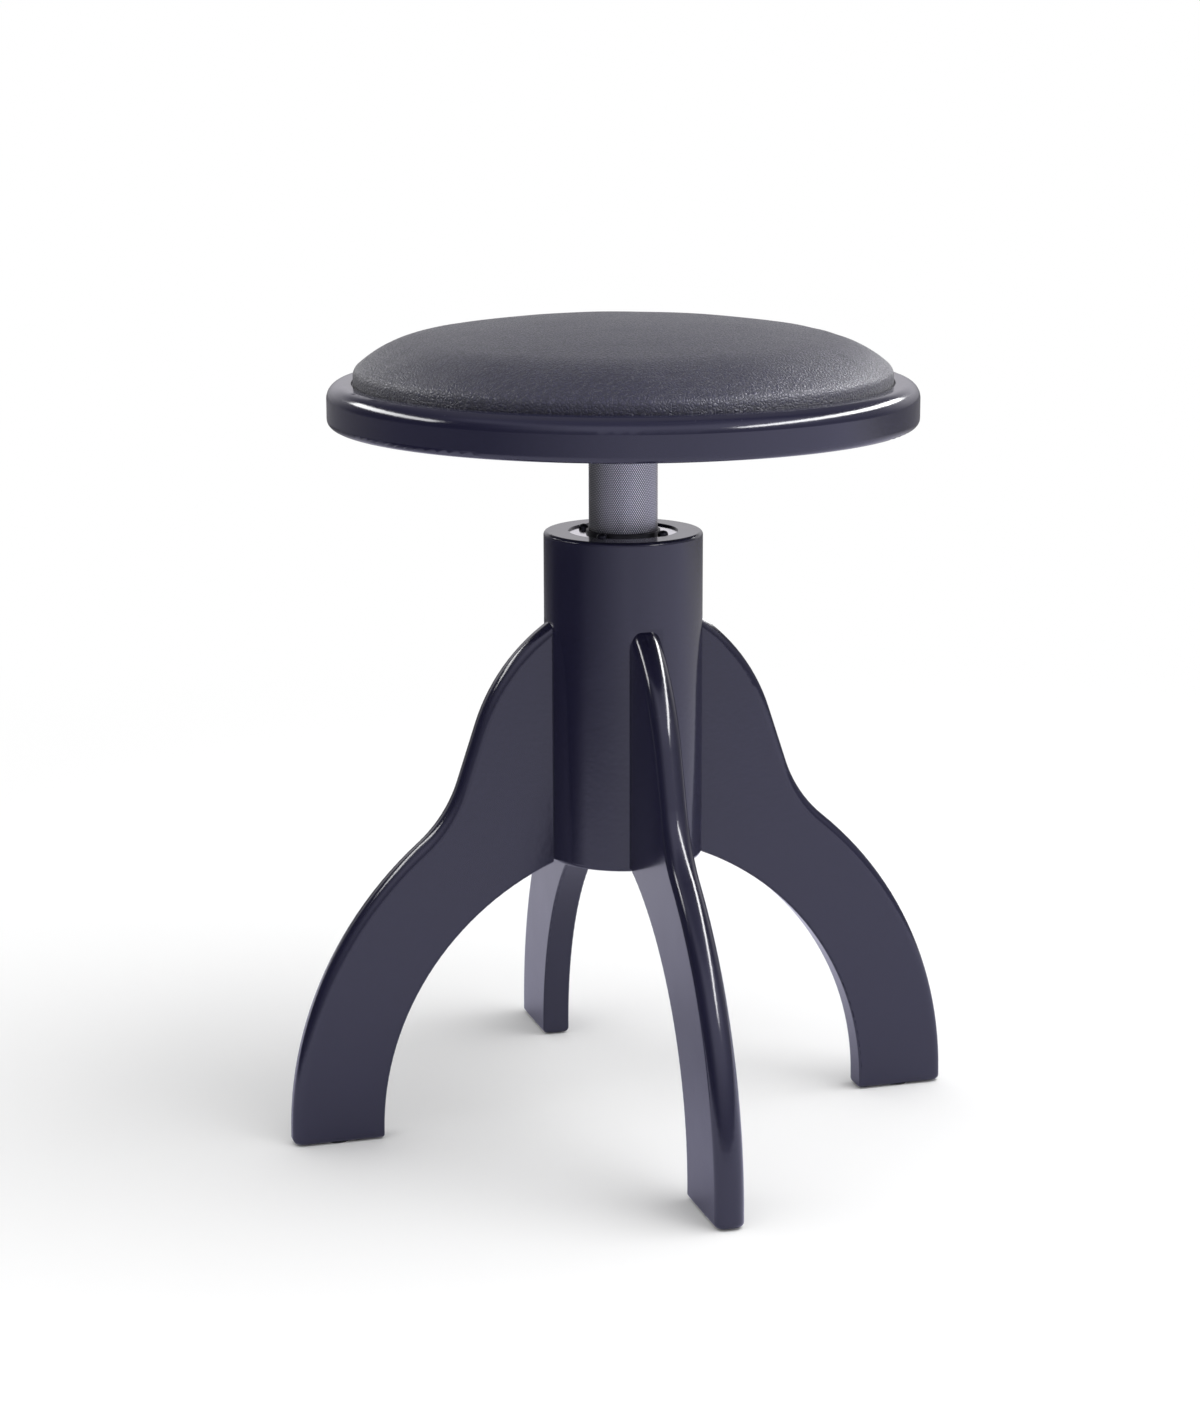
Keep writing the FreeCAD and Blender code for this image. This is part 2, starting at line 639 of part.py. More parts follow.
def make_stop_ring():
    """Keyed ring round the post: it climbs with the post without turning, and its lugs end the travel."""
    stop = turned_part("stop_ring", box_outline("post_radius + fit", f"{LINER_BORE} - fit", STOP_BASE, STOP_TOP))
    inner = "(post_radius + liner_clearance / 2)"
    outer = f"(sqrt({LINER_RADIUS}^2 - (lug_width / 2)^2) - fit)"
    for side in ("", "-"):
        lug = new_sketch(stop, "XY_Plane", LUG_BASE)
        draw_outline(lug, box_outline(f"{side}{inner}", f"{side}{outer}", "-lug_width / 2", "lug_width / 2"))
        extrude(stop, lug, "lug_height")


def make_spindle():
    """Fixed screw spindle, shown at its outer diameter, with the plate, screw and pin that hold it."""
    screw_bore = "spindle_screw_radius + fit"
    bore_top = "column_base + spindle_screw_length + loose"
    spindle = turned_part("spindle", [
        (screw_bore, PLATE_TOP),
        ("spindle_radius", PLATE_TOP),
        ("spindle_radius", f"{SPINDLE_TOP} - spindle_chamfer"),
        ("spindle_radius - spindle_chamfer", SPINDLE_TOP),
        ("0", SPINDLE_TOP),
        ("0", bore_top),
        (screw_bore, bore_top),
    ])
    key_base = f"({PLATE_TOP} - key_pin_bite)"
    key_top = f"({key_base} + key_pin_length)"
    key_pin = [("key_pin_radius", key_base), ("key_pin_radius", key_top)]
    key_hole = widened([("key_pin_radius", f"{key_base} - fit"), ("key_pin_radius", f"{key_top} + fit")])
    fastener_holes(spindle, KEY_OFFSET, key_hole)
    plate = turned_part("base_plate", box_outline(screw_bore, "plate_radius", "column_base", PLATE_TOP))
    sink = new_sketch(plate, "XZ_Plane")
    draw_outline(sink, fastener_outline("0", widened(SPINDLE_SCREW[:2])))
    turn(plate, sink, cut=True)
    fastener_holes(plate, BASE_SCREW_AXIS, widened(BASE_SCREW), "screw_count", BETWEEN_LEGS)
    fastener_holes(plate, KEY_OFFSET, key_hole)
    fasteners("base_screws", BASE_SCREW_AXIS, BASE_SCREW, "screw_count", BETWEEN_LEGS)
    fasteners("spindle_key", KEY_OFFSET, key_pin)
    turned_part("spindle_screw", fastener_outline("0", SPINDLE_SCREW))


def make_post():
    """Steel post with its retaining clips, the nut pinned in its foot and the two pins."""
    groove = "(post_radius - clip_groove_depth)"
    lower = f"({STOP_BASE} - loose - clip_thickness)"
    upper = f"({STOP_TOP} + loose)"
    post = turned_part("post", [
        (POST_BORE, POST_FOOT),
        ("post_radius", POST_FOOT),
        ("post_radius", f"{lower} - fit"),
        (groove, f"{lower} - fit"),
        (groove, f"{lower} + clip_thickness + fit"),
        ("post_radius", f"{lower} + clip_thickness + fit"),
        ("post_radius", f"{upper} - fit"),
        (groove, f"{upper} - fit"),
        (groove, f"{upper} + clip_thickness + fit"),
        ("post_radius", f"{upper} + clip_thickness + fit"),
        ("post_radius", POST_TOP),
        (POST_BORE, POST_TOP),
    ])
    pin_holes = new_sketch(post, "XZ_Plane")
    draw_circle(pin_holes, "0", NUT_MIDDLE, "nut_pin_radius + fit")
    extrude(post, pin_holes, "4 * post_radius", cut=True, both_ways=True)

    clip_bore = f"{groove} + fit"
    clips = turned_part(
        "post_clips",
        box_outline(clip_bore, CLIP_RADIUS, lower, f"{lower} + clip_thickness"),
        box_outline(clip_bore, CLIP_RADIUS, upper, f"{upper} + clip_thickness"),
    )
    opening = new_sketch(clips, "XZ_Plane")
    half_opening = "clip_opening / 2"
    opening_top = f"{upper} + 2 * clip_thickness"
    draw_outline(opening, box_outline(f"-{half_opening}", half_opening, f"{lower} - loose", opening_top))
    extrude(clips, opening, "2 * post_radius", cut=True, backwards=True)

    nut_top = f"{NUT_BASE} + nut_length"
    nut = turned_part("spindle_nut", box_outline("spindle_radius + fit", f"{POST_BORE} - fit", NUT_BASE, nut_top))
    pin_start = "(post_radius - post_wall - nut_pin_depth)"
    pins = new_body("nut_pins")
    for backwards, start in ((True, pin_start), (False, f"-{pin_start}")):
        circles = [("0", NUT_MIDDLE, "nut_pin_radius + fit")]
        radial_holes(nut, "XZ_Plane", circles, start, "2 * post_radius", backwards)
        pin = new_sketch(pins, "XZ_Plane", start)
        draw_circle(pin, "0", NUT_MIDDLE, "nut_pin_radius")
        extrude(pins, pin, f"post_radius - {pin_start}", backwards=not backwards)


def make_seat_mount():
    """Round steel plate with a collar that clamps the post, and its screws."""
    plate = turned_part("seat_plate", [
        ("post_radius + fit", COLLAR_BASE),
        (COLLAR_RADIUS, COLLAR_BASE),
        (COLLAR_RADIUS, MOUNT_BASE),
        ("mount_plate_radius", MOUNT_BASE),
        ("mount_plate_radius", SEAT_BASE),
        ("post_radius + fit", SEAT_BASE),
    ])
    round_edges(plate, "mount_plate_round", rim_at("mount_plate_radius", MOUNT_BASE))
    hole = [("plate_screw_radius", f"{MOUNT_BASE} - loose"), ("plate_screw_radius", f"{SEAT_BASE} + loose")]
    fastener_holes(plate, PLATE_SCREW_AXIS, widened(hole), "plate_screw_count")
    middle = f"({MOUNT_BASE} - collar_height / 2)"
    bore = [("0", middle, "collar_screw_radius + fit")]
    bores = radial_holes(plate, "YZ_Plane", bore, POST_BORE, f"{COLLAR_RADIUS} - {POST_BORE} + loose")
    repeat(plate, bores, "collar_screw_count")
    grubs = new_body("collar_screws")
    grub = new_sketch(grubs, "YZ_Plane", "post_radius + fit")
    draw_circle(grub, "0", middle, "collar_screw_radius")
    repeat(grubs, extrude(grubs, grub, f"{COLLAR_RADIUS} - post_radius - fit"), "collar_screw_count")
    fasteners("plate_screws", PLATE_SCREW_AXIS, PLATE_SCREW, "plate_screw_count")


def make_seat():
    """Lacquered disc with a shallow recess, and the holes for its screws."""
    seat = turned_part("seat_disc", [
        ("0", SEAT_BASE),
        ("seat_radius", SEAT_BASE),
        ("seat_radius", SEAT_TOP),
        (RECESS_RADIUS, SEAT_TOP),
        (RECESS_RADIUS, RECESS_FLOOR),
        ("0", RECESS_FLOOR),
    ])
    round_edges(seat, "seat_top_round", rim_at("seat_radius", SEAT_TOP))
    round_edges(seat, "seat_under_round", rim_at("seat_radius", SEAT_BASE))
    round_edges(seat, "recess_lip_round", rim_at(RECESS_RADIUS, SEAT_TOP))
    pilot = [PLATE_SCREW[0], ("plate_screw_radius", SEAT_BASE)]
    fastener_holes(seat, PLATE_SCREW_AXIS, widened(pilot), "plate_screw_count")
    fastener_holes(seat, CUSHION_SCREW_AXIS, widened(CUSHION_SCREW), "screw_count", BETWEEN_LEGS)
    fasteners("cushion_screws", CUSHION_SCREW_AXIS, CUSHION_SCREW, "screw_count", BETWEEN_LEGS)


def draw_cushion_arcs(sketch, inset):
    """Crown, shoulder and edge arcs of the cushion, inset from its outer skin. Returns the two outer ones."""
    radii = [f"{name} - {inset}" for name in ("crown_arc_radius", "shoulder_arc_radius", "edge_arc_radius")]
    crown_radius, shoulder_radius, edge_radius = [amount(radius) for radius in radii]
    top = f"{CUSHION_TOP} - {inset}"
    crown_centre = FreeCAD.Vector(0, amount(top) - crown_radius, 0)
    edge_centre = FreeCAD.Vector(amount(EDGE_CENTRE), amount(TUCK_TOP), 0)
    # The shoulder touches both other arcs, so its centre is found from the distances to their centres
    between = edge_centre - crown_centre
    across = between / between.Length
    to_crown = crown_radius - shoulder_radius
    to_edge = shoulder_radius - edge_radius
    along = (to_crown ** 2 - to_edge ** 2 + between.Length ** 2) / (2 * between.Length)
    aside = math.sqrt(to_crown ** 2 - along ** 2)
    shoulder_centre = crown_centre + across * along + FreeCAD.Vector(-across.y, across.x, 0) * aside
    high = shoulder_centre - crown_centre
    low = edge_centre - shoulder_centre
    high_angle = math.atan2(high.y, high.x)
    low_angle = math.atan2(low.y, low.x)
    upwards = FreeCAD.Vector(0, 0, 1)
    arcs = [
        Part.ArcOfCircle(Part.Circle(crown_centre, upwards, crown_radius), high_angle, math.pi / 2),
        Part.ArcOfCircle(Part.Circle(shoulder_centre, upwards, shoulder_radius), low_angle, high_angle),
        Part.ArcOfCircle(Part.Circle(edge_centre, upwards, edge_radius), 0, low_angle),
    ]
    crown, shoulder, edge = numbers = list(sketch.addGeometry(arcs, False))
    sketch.addConstraint(Sketcher.Constraint("Tangent", crown, 1, shoulder, 2))
    sketch.addConstraint(Sketcher.Constraint("Tangent", shoulder, 1, edge, 2))
    sketch.addConstraint(Sketcher.Constraint("PointOnObject", crown, 3, -2))
    place_point(sketch, crown, 2, "0", top)
    place_point(sketch, edge, 3, EDGE_CENTRE, TUCK_TOP)
    for number, radius in zip(numbers, radii):
        dimension(sketch, Sketcher.Constraint("Radius", number, amount(radius)), radius)
    dimension(sketch, Sketcher.Constraint("DistanceY", -1, 1, edge, 1, amount(TUCK_TOP)), TUCK_TOP)
    return crown, edge


def draw_chain(sketch, start, corners, end):
    """Straight edges from one arc's end through corners to another's; each end is an edge and its point."""
    def spot(edge, point):
        arc = sketch.Geometry[edge]
        return arc.StartPoint if point == 1 else arc.EndPoint

    points = [spot(*start)] + [FreeCAD.Vector(amount(x), amount(y), 0) for x, y in corners] + [spot(*end)]
    edges = [Part.LineSegment(a, b) for a, b in zip(points, points[1:])]
    numbers = list(sketch.addGeometry(edges, False))
    sketch.addConstraint(Sketcher.Constraint("Coincident", start[0], start[1], numbers[0], 1))
    for before, after, (x, y) in zip(numbers, numbers[1:], corners):
        sketch.addConstraint(Sketcher.Constraint("Coincident", before, 2, after, 1))
        place_point(sketch, after, 1, x, y)
    sketch.addConstraint(Sketcher.Constraint("Coincident", numbers[-1], 2, end[0], end[1]))


def make_cushion():
    """Leather cover turned under a plywood board, with the domed foam that fills it."""
    cover = new_body("cushion_cover")
    sketch = new_sketch(cover, "XZ_Plane")
    outer_crown, outer_edge = draw_cushion_arcs(sketch, "0")
    inner_crown, inner_edge = draw_cushion_arcs(sketch, "skin")
    draw_chain(sketch, (outer_edge, 1), [
        (TUCK_RADIUS, RECESS_FLOOR),
        (f"{TUCK_RADIUS} - hem_width", RECESS_FLOOR),
        (f"{TUCK_RADIUS} - hem_width", BOARD_BASE),
        (f"{TUCK_RADIUS} - skin", BOARD_BASE),
    ], (inner_edge, 1))
    draw_chain(sketch, (inner_crown, 2), [], (outer_crown, 2))
    turn(cover, sketch)

    foam = new_body("cushion_foam")
    sketch = new_sketch(foam, "XZ_Plane")
    crown, edge = draw_cushion_arcs(sketch, "(skin + soft_gap)")
    draw_chain(sketch, (edge, 1), [
        (BOARD_RADIUS, BOARD_TOP),
        ("0", BOARD_TOP),
    ], (crown, 2))
    turn(foam, sketch)

    board = turned_part("cushion_board", [
        ("0", BOARD_BASE),
        (BOARD_RADIUS, BOARD_BASE),
        (BOARD_RADIUS, BOARD_TOP),
        ("0", BOARD_TOP),
    ])
    pilot = [("cushion_screw_radius", BOARD_BASE), CUSHION_SCREW[-1]]
    fastener_holes(board, CUSHION_SCREW_AXIS, widened(pilot), "screw_count", BETWEEN_LEGS)


make_column()
for place, leg_label in enumerate(LEG_LABELS):
    make_leg(leg_label, place * FULL_TURN / len(LEG_LABELS))
make_dowels()
fasteners("foot_glides", FOOT_MIDDLE, GLIDE, "leg_count")
make_guide()
make_stop_ring()
make_spindle()
make_post()
make_seat_mount()
make_seat()
make_cushion()
doc.recompute()

for item in doc.Objects:
    if "Invalid" in item.State or "Error" in item.State:
        raise RuntimeError(f"{item.Label} failed: {item.State}")
bodies = [item for item in doc.Objects if item.TypeId == "PartDesign::Body"]
for body in bodies:
    if body.Shape.isNull() or not body.Shape.isValid() or not body.Shape.Solids:
        raise RuntimeError(f"{body.Label} has no valid solid")

os.makedirs("parts", exist_ok=True)
for body in bodies:
    body.Shape.exportStep(f"parts/{body.Label}.step")
    print(f"{body.Label}: {len(body.Shape.Solids)} solid(s), {body.Shape.Volume:.1f} mm3")
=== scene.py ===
"""Piano stool: dresses the packed model with its cushion, knurl, thread, screws, finishes and studio."""

import math

import bmesh
import bpy
from bpy.props import FloatProperty, FloatVectorProperty, IntProperty, PointerProperty
from mathutils import Matrix, Vector
from mathutils.bvhtree import BVHTree
from mathutils.noise import noise


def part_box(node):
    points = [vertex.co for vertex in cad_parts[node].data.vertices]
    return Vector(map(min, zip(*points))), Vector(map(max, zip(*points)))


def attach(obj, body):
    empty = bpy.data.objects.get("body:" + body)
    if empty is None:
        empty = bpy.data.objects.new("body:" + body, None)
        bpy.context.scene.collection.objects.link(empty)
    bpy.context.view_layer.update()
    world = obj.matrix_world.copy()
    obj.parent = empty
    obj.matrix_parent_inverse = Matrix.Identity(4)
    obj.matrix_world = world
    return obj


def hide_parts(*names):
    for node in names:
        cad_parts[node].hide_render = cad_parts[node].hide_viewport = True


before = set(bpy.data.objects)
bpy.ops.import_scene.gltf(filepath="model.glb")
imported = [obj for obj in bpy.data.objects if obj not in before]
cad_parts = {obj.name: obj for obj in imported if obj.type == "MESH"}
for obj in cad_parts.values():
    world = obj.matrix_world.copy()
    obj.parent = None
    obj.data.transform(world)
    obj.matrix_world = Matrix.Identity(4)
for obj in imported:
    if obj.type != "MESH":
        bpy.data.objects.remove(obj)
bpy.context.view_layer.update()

bl_info = {
    "name": "Piano Stool",
    "version": (1, 0, 0),
    "blender": (4, 5, 0),
    "location": "3D View > Sidebar > Piano Stool",
    "description": "Dresses the piano stool's frame: cushion, knurled post, thread, screws and finishes",
    "category": "Object",
}

# The photograph's camera, in the stool's own axes
CAMERA_DISTANCE = 1.9285
CAMERA_HEIGHT = 0.6986
CAMERA_TILT = 0.22380
CAMERA_TURN = 0.295379
CAMERA_AIM = 0.007508
CAMERA_ROLL = -0.002203
CAMERA_LENS = 80.16
CAMERA_SENSOR = 36.0
CAMERA_CLIP = (0.05, 100.0)

UP = (0.0, 0.0, 1.0)
WHITE = (1.0, 1.0, 1.0, 1.0)

# Radius under which a point is on the axis, distance within which points are one, and margin at a thread's
# ends
ON_AXIS = 1e-7
SEAM = 0.000004
END_MARGIN = 0.000002


def length(name, description, default, low=0.0, high=1.0):
    """A length in metres."""
    return FloatProperty(
        name=name, description=description, default=default, min=low, max=high,
        subtype="DISTANCE", unit="LENGTH", precision=5,
    )


def share(name, description, default, low=0.0, high=1.0):
    """A share without a unit."""
    return FloatProperty(
        name=name, description=description, default=default, min=low, max=high, subtype="FACTOR"
    )


def colour(name, description, default):
    """A colour."""
    return FloatVectorProperty(
        name=name, description=description, default=default, min=0.0, max=1.0, size=3, subtype="COLOR"
    )


def power(name, description, default):
    """A light's power in watts."""
    return FloatProperty(name=name, description=description, default=default, min=0.0, unit="POWER")


class StoolFinishes(bpy.types.PropertyGroup):
    """Colours and gloss of the stool's finishes."""

    lacquer: colour("Lacquer", "Black satin lacquer on all the wood that shows", (0.0110, 0.0105, 0.0280))
    lacquer_roughness: share("Lacquer roughness", "How far the lacquer spreads a reflection", 0.15)
    orange_peel: length("Orange peel", "Width of the waves in the sprayed lacquer", 0.0035, 0.0005, 0.02)
    leather: colour("Leather", "Black leather of the cushion", (0.0130, 0.0125, 0.0380))
    leather_roughness: share("Leather roughness", "How far the leather spreads a reflection", 0.45)
    pebble: length("Pebble", "Width of one pebble of the leather's grain", 0.0023, 0.0004, 0.01)
    foam: colour("Foam", "Cut polyurethane foam", (0.62, 0.55, 0.36))
    plywood: colour("Plywood", "Birch plywood and beech dowels", (0.58, 0.40, 0.23))
    knurled_steel: colour("Knurled steel", "Nickelled steel of the post", (0.90, 0.895, 0.92))
    plated_steel: colour("Plated steel", "Polished nickel plate of the guide ring", (0.72, 0.71, 0.73))
    zinc_steel: colour("Zinc steel", "Zinc-plated steel out of sight", (0.52, 0.53, 0.55))
    black_steel: colour("Black steel", "Powder-coated steel", (0.018, 0.018, 0.020))
    black_screw: colour("Black screw", "Blackened steel of the guide ring's screws", (0.060, 0.060, 0.068))
    bronze: colour("Bronze", "Bearing bronze of the spindle nut", (0.55, 0.36, 0.16))
    black_nylon: colour("Black nylon", "Moulded nylon of the bush and glides", (0.014, 0.014, 0.016))


class StoolPost(bpy.types.PropertyGroup):
    """Sizes of the knurled post."""

    radius: length("Radius", "Radius over the knurl's points", 0.0212)
    bore: length("Bore", "Radius of the tube's bore", 0.0187)
    knurl_depth: length("Knurl depth", "Depth of the grooves between the points", 0.00022, 0.0, 0.002)
    knurl_around: IntProperty(
        name="Points round", description="Knurl points in one turn", default=96, min=24, max=200
    )
    knurl_pitch: length("Knurl pitch", "Height of one knurl point along the post", 0.0022, 0.0008, 0.01)
    knurl_start: length("Knurl start", "Level at which the knurl begins", 0.2925)
    knurl_end: length("Knurl end", "Level at which the knurl ends", 0.4405)


class StoolSpindle(bpy.types.PropertyGroup):
    """Sizes of the screw spindle."""

    radius: length("Radius", "Radius over the thread", 0.012)
    thread_depth: length("Thread depth", "Depth of the trapezoidal thread", 0.0023, 0.0, 0.004)
    thread_pitch: length("Thread pitch", "Climb in one turn", 0.005, 0.001, 0.02)
    segments: IntProperty(name="Segments", description="Segments in one turn", default=48, min=16, max=128)


class StoolCushion(bpy.types.PropertyGroup):
    """Shape of the padded cushion."""

    start_inset: length("Start inset", "How far inside its final form the pad starts", 0.0035, 0.0, 0.02)
    voxel: length("Voxel", "Cell of the remeshed pad before it swells", 0.0055, 0.003, 0.02)
    pressure: FloatProperty(
        name="Pressure", description="Pressure inside the pad", default=4.0, min=0.0, max=20.0
    )
    swell_cap: length("Swell cap", "Most that any point of the pad may move", 0.006, 0.0, 0.03)
    swell_share: share("Swell share", "How much of the cloth's own unevenness the leather keeps", 0.12)
    skin: length("Skin", "Thickness of the leather", 0.0012, 0.0005, 0.004)
    unevenness: length("Unevenness", "Height of the soft waves in the padding", 0.0007, 0.0, 0.005)
    gathers: length("Gathers", "Depth of the gathers where the leather turns under", 0.00045, 0.0, 0.003)


class StoolStage(bpy.types.PropertyGroup):
    """Floor, lights and surroundings."""

    floor: colour("Floor", "Pale floor", (0.92, 0.92, 0.92))
    ambient: share("Ambient", "Brightness of the room's light", 0.90, 0.0, 2.0)
    key: power("Key light", "Power of the softbox overhead", 20.0)
    right: power("Right light", "Power of the softbox on the right", 15.0)
    left: power("Left light", "Power of the softbox on the left", 4.4)


class Wire:
    """A node's output. Arithmetic with wires and numbers adds Math nodes."""

    def __init__(self, socket):
        self.socket = socket

    @property
    def tree(self):
        """The node tree that holds the wire."""
        return self.socket.id_data

    def also(self, name):
        """Another output of the same node."""
        return Wire(self.socket.node.outputs[name])

    def __add__(self, other):
        return maths("ADD", self, other)

    def __sub__(self, other):
        return maths("SUBTRACT", self, other)

    def __rsub__(self, other):
        return maths("SUBTRACT", other, self)

    def __mul__(self, other):
        return maths("MULTIPLY", self, other)

    def __truediv__(self, other):
        return maths("DIVIDE", self, other)

    def __rtruediv__(self, other):
        return maths("DIVIDE", other, self)


def put(sockets, values):
    """Sets or links sockets, which are named by number or by name, with underscores for spaces."""
    for key, value in values.items():
        socket = sockets[key.replace("_", " ") if isinstance(key, str) else key]
        if isinstance(value, Wire):
            value.tree.links.new(value.socket, socket)
        else:
            socket.default_value = value


def node(kind, inputs, tree=None, **settings):
    """A node with its settings. Its inputs are values or wires, and its tree is theirs if none is given."""
    tree = tree or next(value.tree for value in inputs.values() if isinstance(value, Wire))
    made = tree.nodes.new(kind)
    for name, value in settings.items():
        setattr(made, name, value)
    put(made.inputs, inputs)
    return made


def out(kind, inputs, output=0, tree=None, **settings):
    """One output of a new node."""
    return Wire(node(kind, inputs, tree, **settings).outputs[output])


def maths(operation, *values, clamp=False):
    """Result of a Math node."""
    return out("ShaderNodeMath", dict(enumerate(values)), operation=operation, use_clamp=clamp)


def larger(first, second):
    """The larger of two values."""
    return maths("MAXIMUM", first, second)


def vectors(operation, *values):
    """Result of a Vector Math node."""
    single = operation in ("DOT_PRODUCT", "LENGTH")
    return out("ShaderNodeVectorMath", dict(enumerate(values)), int(single), operation=operation)


def scaled(vector, factor):
    """A vector or a colour times a value."""
    return out("ShaderNodeVectorMath", {0: vector, "Scale": factor}, operation="SCALE")


def combined(x, y, z):
    """A vector from its three values."""
    return out("ShaderNodeCombineXYZ", {0: x, 1: y, 2: z})


def part(vector, number):
    """One value of a vector."""
    return out("ShaderNodeSeparateXYZ", {0: vector}, number)


def level_part(vector):
    """A vector without its height."""
    return vectors("MULTIPLY", vector, (1.0, 1.0, 0.0))


def surface_normal(tree):
    """The surface's normal in the world."""
    return out("ShaderNodeNewGeometry", {}, "Normal", tree)


def fade(value, low, high, start=0.0, end=1.0):
    """A smooth step from start at low to end at high."""
    ends = {"From Min": low, "From Max": high, "To Min": start, "To Max": end}
    return out("ShaderNodeMapRange", {"Value": value, **ends}, interpolation_type="SMOOTHSTEP")


def mix_values(factor, first, second):
    """Result of a Mix node on two values."""
    return out("ShaderNodeMix", {0: factor, 2: first, 3: second}, data_type="FLOAT")


def mix_colours(factor, first, second):
    """Result of a Mix node on two colours."""
    return out("ShaderNodeMix", {0: factor, 6: first, 7: second}, 2, data_type="RGBA")


def noise_at(vector, size, detail=2.0, roughness=0.5, distortion=0.0):
    """A noise texture's value, with its waves about size metres wide."""
    return out("ShaderNodeTexNoise", {
        "Vector": vector, "Scale": 1.0 / size, "Detail": detail, "Roughness": roughness,
        "Distortion": distortion,
    })


def cells_at(vector, scale, output, randomness=1.0, **settings):
    """One output of a Voronoi texture."""
    inputs = {"Vector": vector, "Scale": scale, "Randomness": randomness}
    return out("ShaderNodeTexVoronoi", inputs, output, **settings)


def arrange(tree):
    """Lays the nodes out from left to right in the order in which they feed each other."""
    depth = {item: 0 for item in tree.nodes}
    for _ in tree.nodes:
        moved = False
        for link in tree.links:
            wanted = depth[link.to_node] + 1
            if depth[link.from_node] < wanted:
                depth[link.from_node] = wanted
                moved = True
        if not moved:
            break
    filled = {}
    for item in tree.nodes:
        row = filled.get(depth[item], 0)
        item.location = (-240 * depth[item], -220 * row)
        filled[depth[item]] = row + 1


FLOAT, VECTOR, COLOUR = "NodeSocketFloat", "NodeSocketVector", "NodeSocketColor"
SOCKET_KINDS = {float: FLOAT, int: "NodeSocketInt", 3: VECTOR, 4: COLOUR}
NO_DEFAULT = {"Vector": VECTOR, "Material": "NodeSocketMaterial"}


def node_group(kind, name, inputs, outputs, build):
    """A node group, built once. inputs are names with defaults, and outputs names with socket kinds."""
    tree = bpy.data.node_groups.get(name)
    if tree is not None:
        return tree
    tree = bpy.data.node_groups.new(name, kind)
    for key, default in inputs.items():
        label = key.replace("_", " ")
        if default is None:
            tree.interface.new_socket(label, in_out="INPUT", socket_type=NO_DEFAULT[label])
            continue
        sort = SOCKET_KINDS[len(default) if isinstance(default, tuple) else type(default)]
        tree.interface.new_socket(label, in_out="INPUT", socket_type=sort).default_value = default
    for label, sort in outputs.items():
        tree.interface.new_socket(label, in_out="OUTPUT", socket_type=sort)
    entry = tree.nodes.new("NodeGroupInput")
    leave = tree.nodes.new("NodeGroupOutput")
    results = build(*[Wire(socket) for socket in entry.outputs if socket.name])
    put(leave.inputs, dict(enumerate(results if isinstance(results, tuple) else (results,))))
    arrange(tree)
    return tree


def effect(name, outputs, **inputs):
    """Turns a function of wires into one that places it as a shader group, whose first input is a vector."""
    def wrap(build):
        def placed(**values):
            group = node_group("ShaderNodeTree", name, {"Vector": None, **inputs}, outputs, build)
            return out("ShaderNodeGroup", values, node_tree=group)

        placed.__doc__ = build.__doc__
        return placed

    return wrap


@effect("Orange peel", {"Height": FLOAT}, Width=0.003, Sway=3.0)
def orange_peel(place, width, sway):
    """Soft waves of a sprayed or powdered coat."""
    return noise_at(place, width, 1.0) + noise_at(place, width * 9.0, 1.0) * sway


@effect("Rounded edge", {"Normal": VECTOR}, Half_width=0.009)
def rounded_edge(place, half_width):
    """Normals of an upright board that points at the stool's axis, with its outer edge rubbed fully round."""
    along_x = maths("GREATER_THAN", maths("ABSOLUTE", part(place, 0)), maths("ABSOLUTE", part(place, 1)))
    along_y = 1.0 - along_x
    run, side = combined(along_x, along_y, 0.0), combined(along_y, along_x, 0.0)
    turned = {"vector_type": "NORMAL", "convert_from": "WORLD", "convert_to": "OBJECT"}
    normal = out("ShaderNodeVectorTransform", {0: surface_normal(place.tree)}, **turned)
    in_plane = vectors("NORMALIZE", vectors("MULTIPLY", normal, vectors("ADD", run, UP)))
    outwards = vectors("NORMALIZE", vectors("MULTIPLY", place, run))
    outer = fade(vectors("DOT_PRODUCT", in_plane, vectors("ADD", outwards, UP)), 0.10, 0.35)
    across = scaled(vectors("MULTIPLY", place, side), 1.0 / half_width)
    upright = maths("SQRT", larger(1.0 - vectors("DOT_PRODUCT", across, across), 0.0))
    bent = vectors("ADD", scaled(in_plane, upright), across)
    change = scaled(vectors("SUBTRACT", bent, normal), outer)
    bent = vectors("NORMALIZE", vectors("ADD", normal, change))
    turned.update(convert_from="OBJECT", convert_to="WORLD")
    return out("ShaderNodeVectorTransform", {0: bent}, **turned)


@effect("Handling", {"Roughness": FLOAT, "Mask": FLOAT}, Roughness=0.3, Variation=0.1, Patch=0.06)
def handling(place, roughness, variation, patch):
    """Roughness of a surface that hands and cloths have touched, with a mask of the dull patches."""
    streaks = noise_at(vectors("MULTIPLY", place, (1.0, 1.0, 0.18)), patch / 5.0, 3.0)
    both = noise_at(place, patch, 4.0, 0.6, 0.4) * 0.65 + streaks * 0.35
    return maths("ADD", roughness, (both - 0.5) * variation, clamp=True), fade(both, 0.52, 0.70)


@effect("Turning marks", {"Height": FLOAT}, Spacing=0.0006)
def turning_marks(place, spacing):
    """Fine rings that a lathe leaves, on flat faces and round sides alike."""
    line = vectors("LENGTH", level_part(place)) + part(place, 2)
    return noise_at(combined(line, 0.0, 0.0), spacing, 3.0, 0.6)


@effect("Settled dust", {"Mask": FLOAT}, Amount=0.3)
def settled_dust(place, amount):
    """Sparse pale specks, more of them on faces that look up."""
    cells = cells_at(place, 520.0, "Distance")
    few = fade(part(cells.also("Color"), 0), 0.93, 0.97)
    upward = fade(part(surface_normal(place.tree), 2), -0.2, 0.9, 0.12, 1.0)
    return fade(cells, 0.06, 0.13, 1.0, 0.0) * few * upward * amount


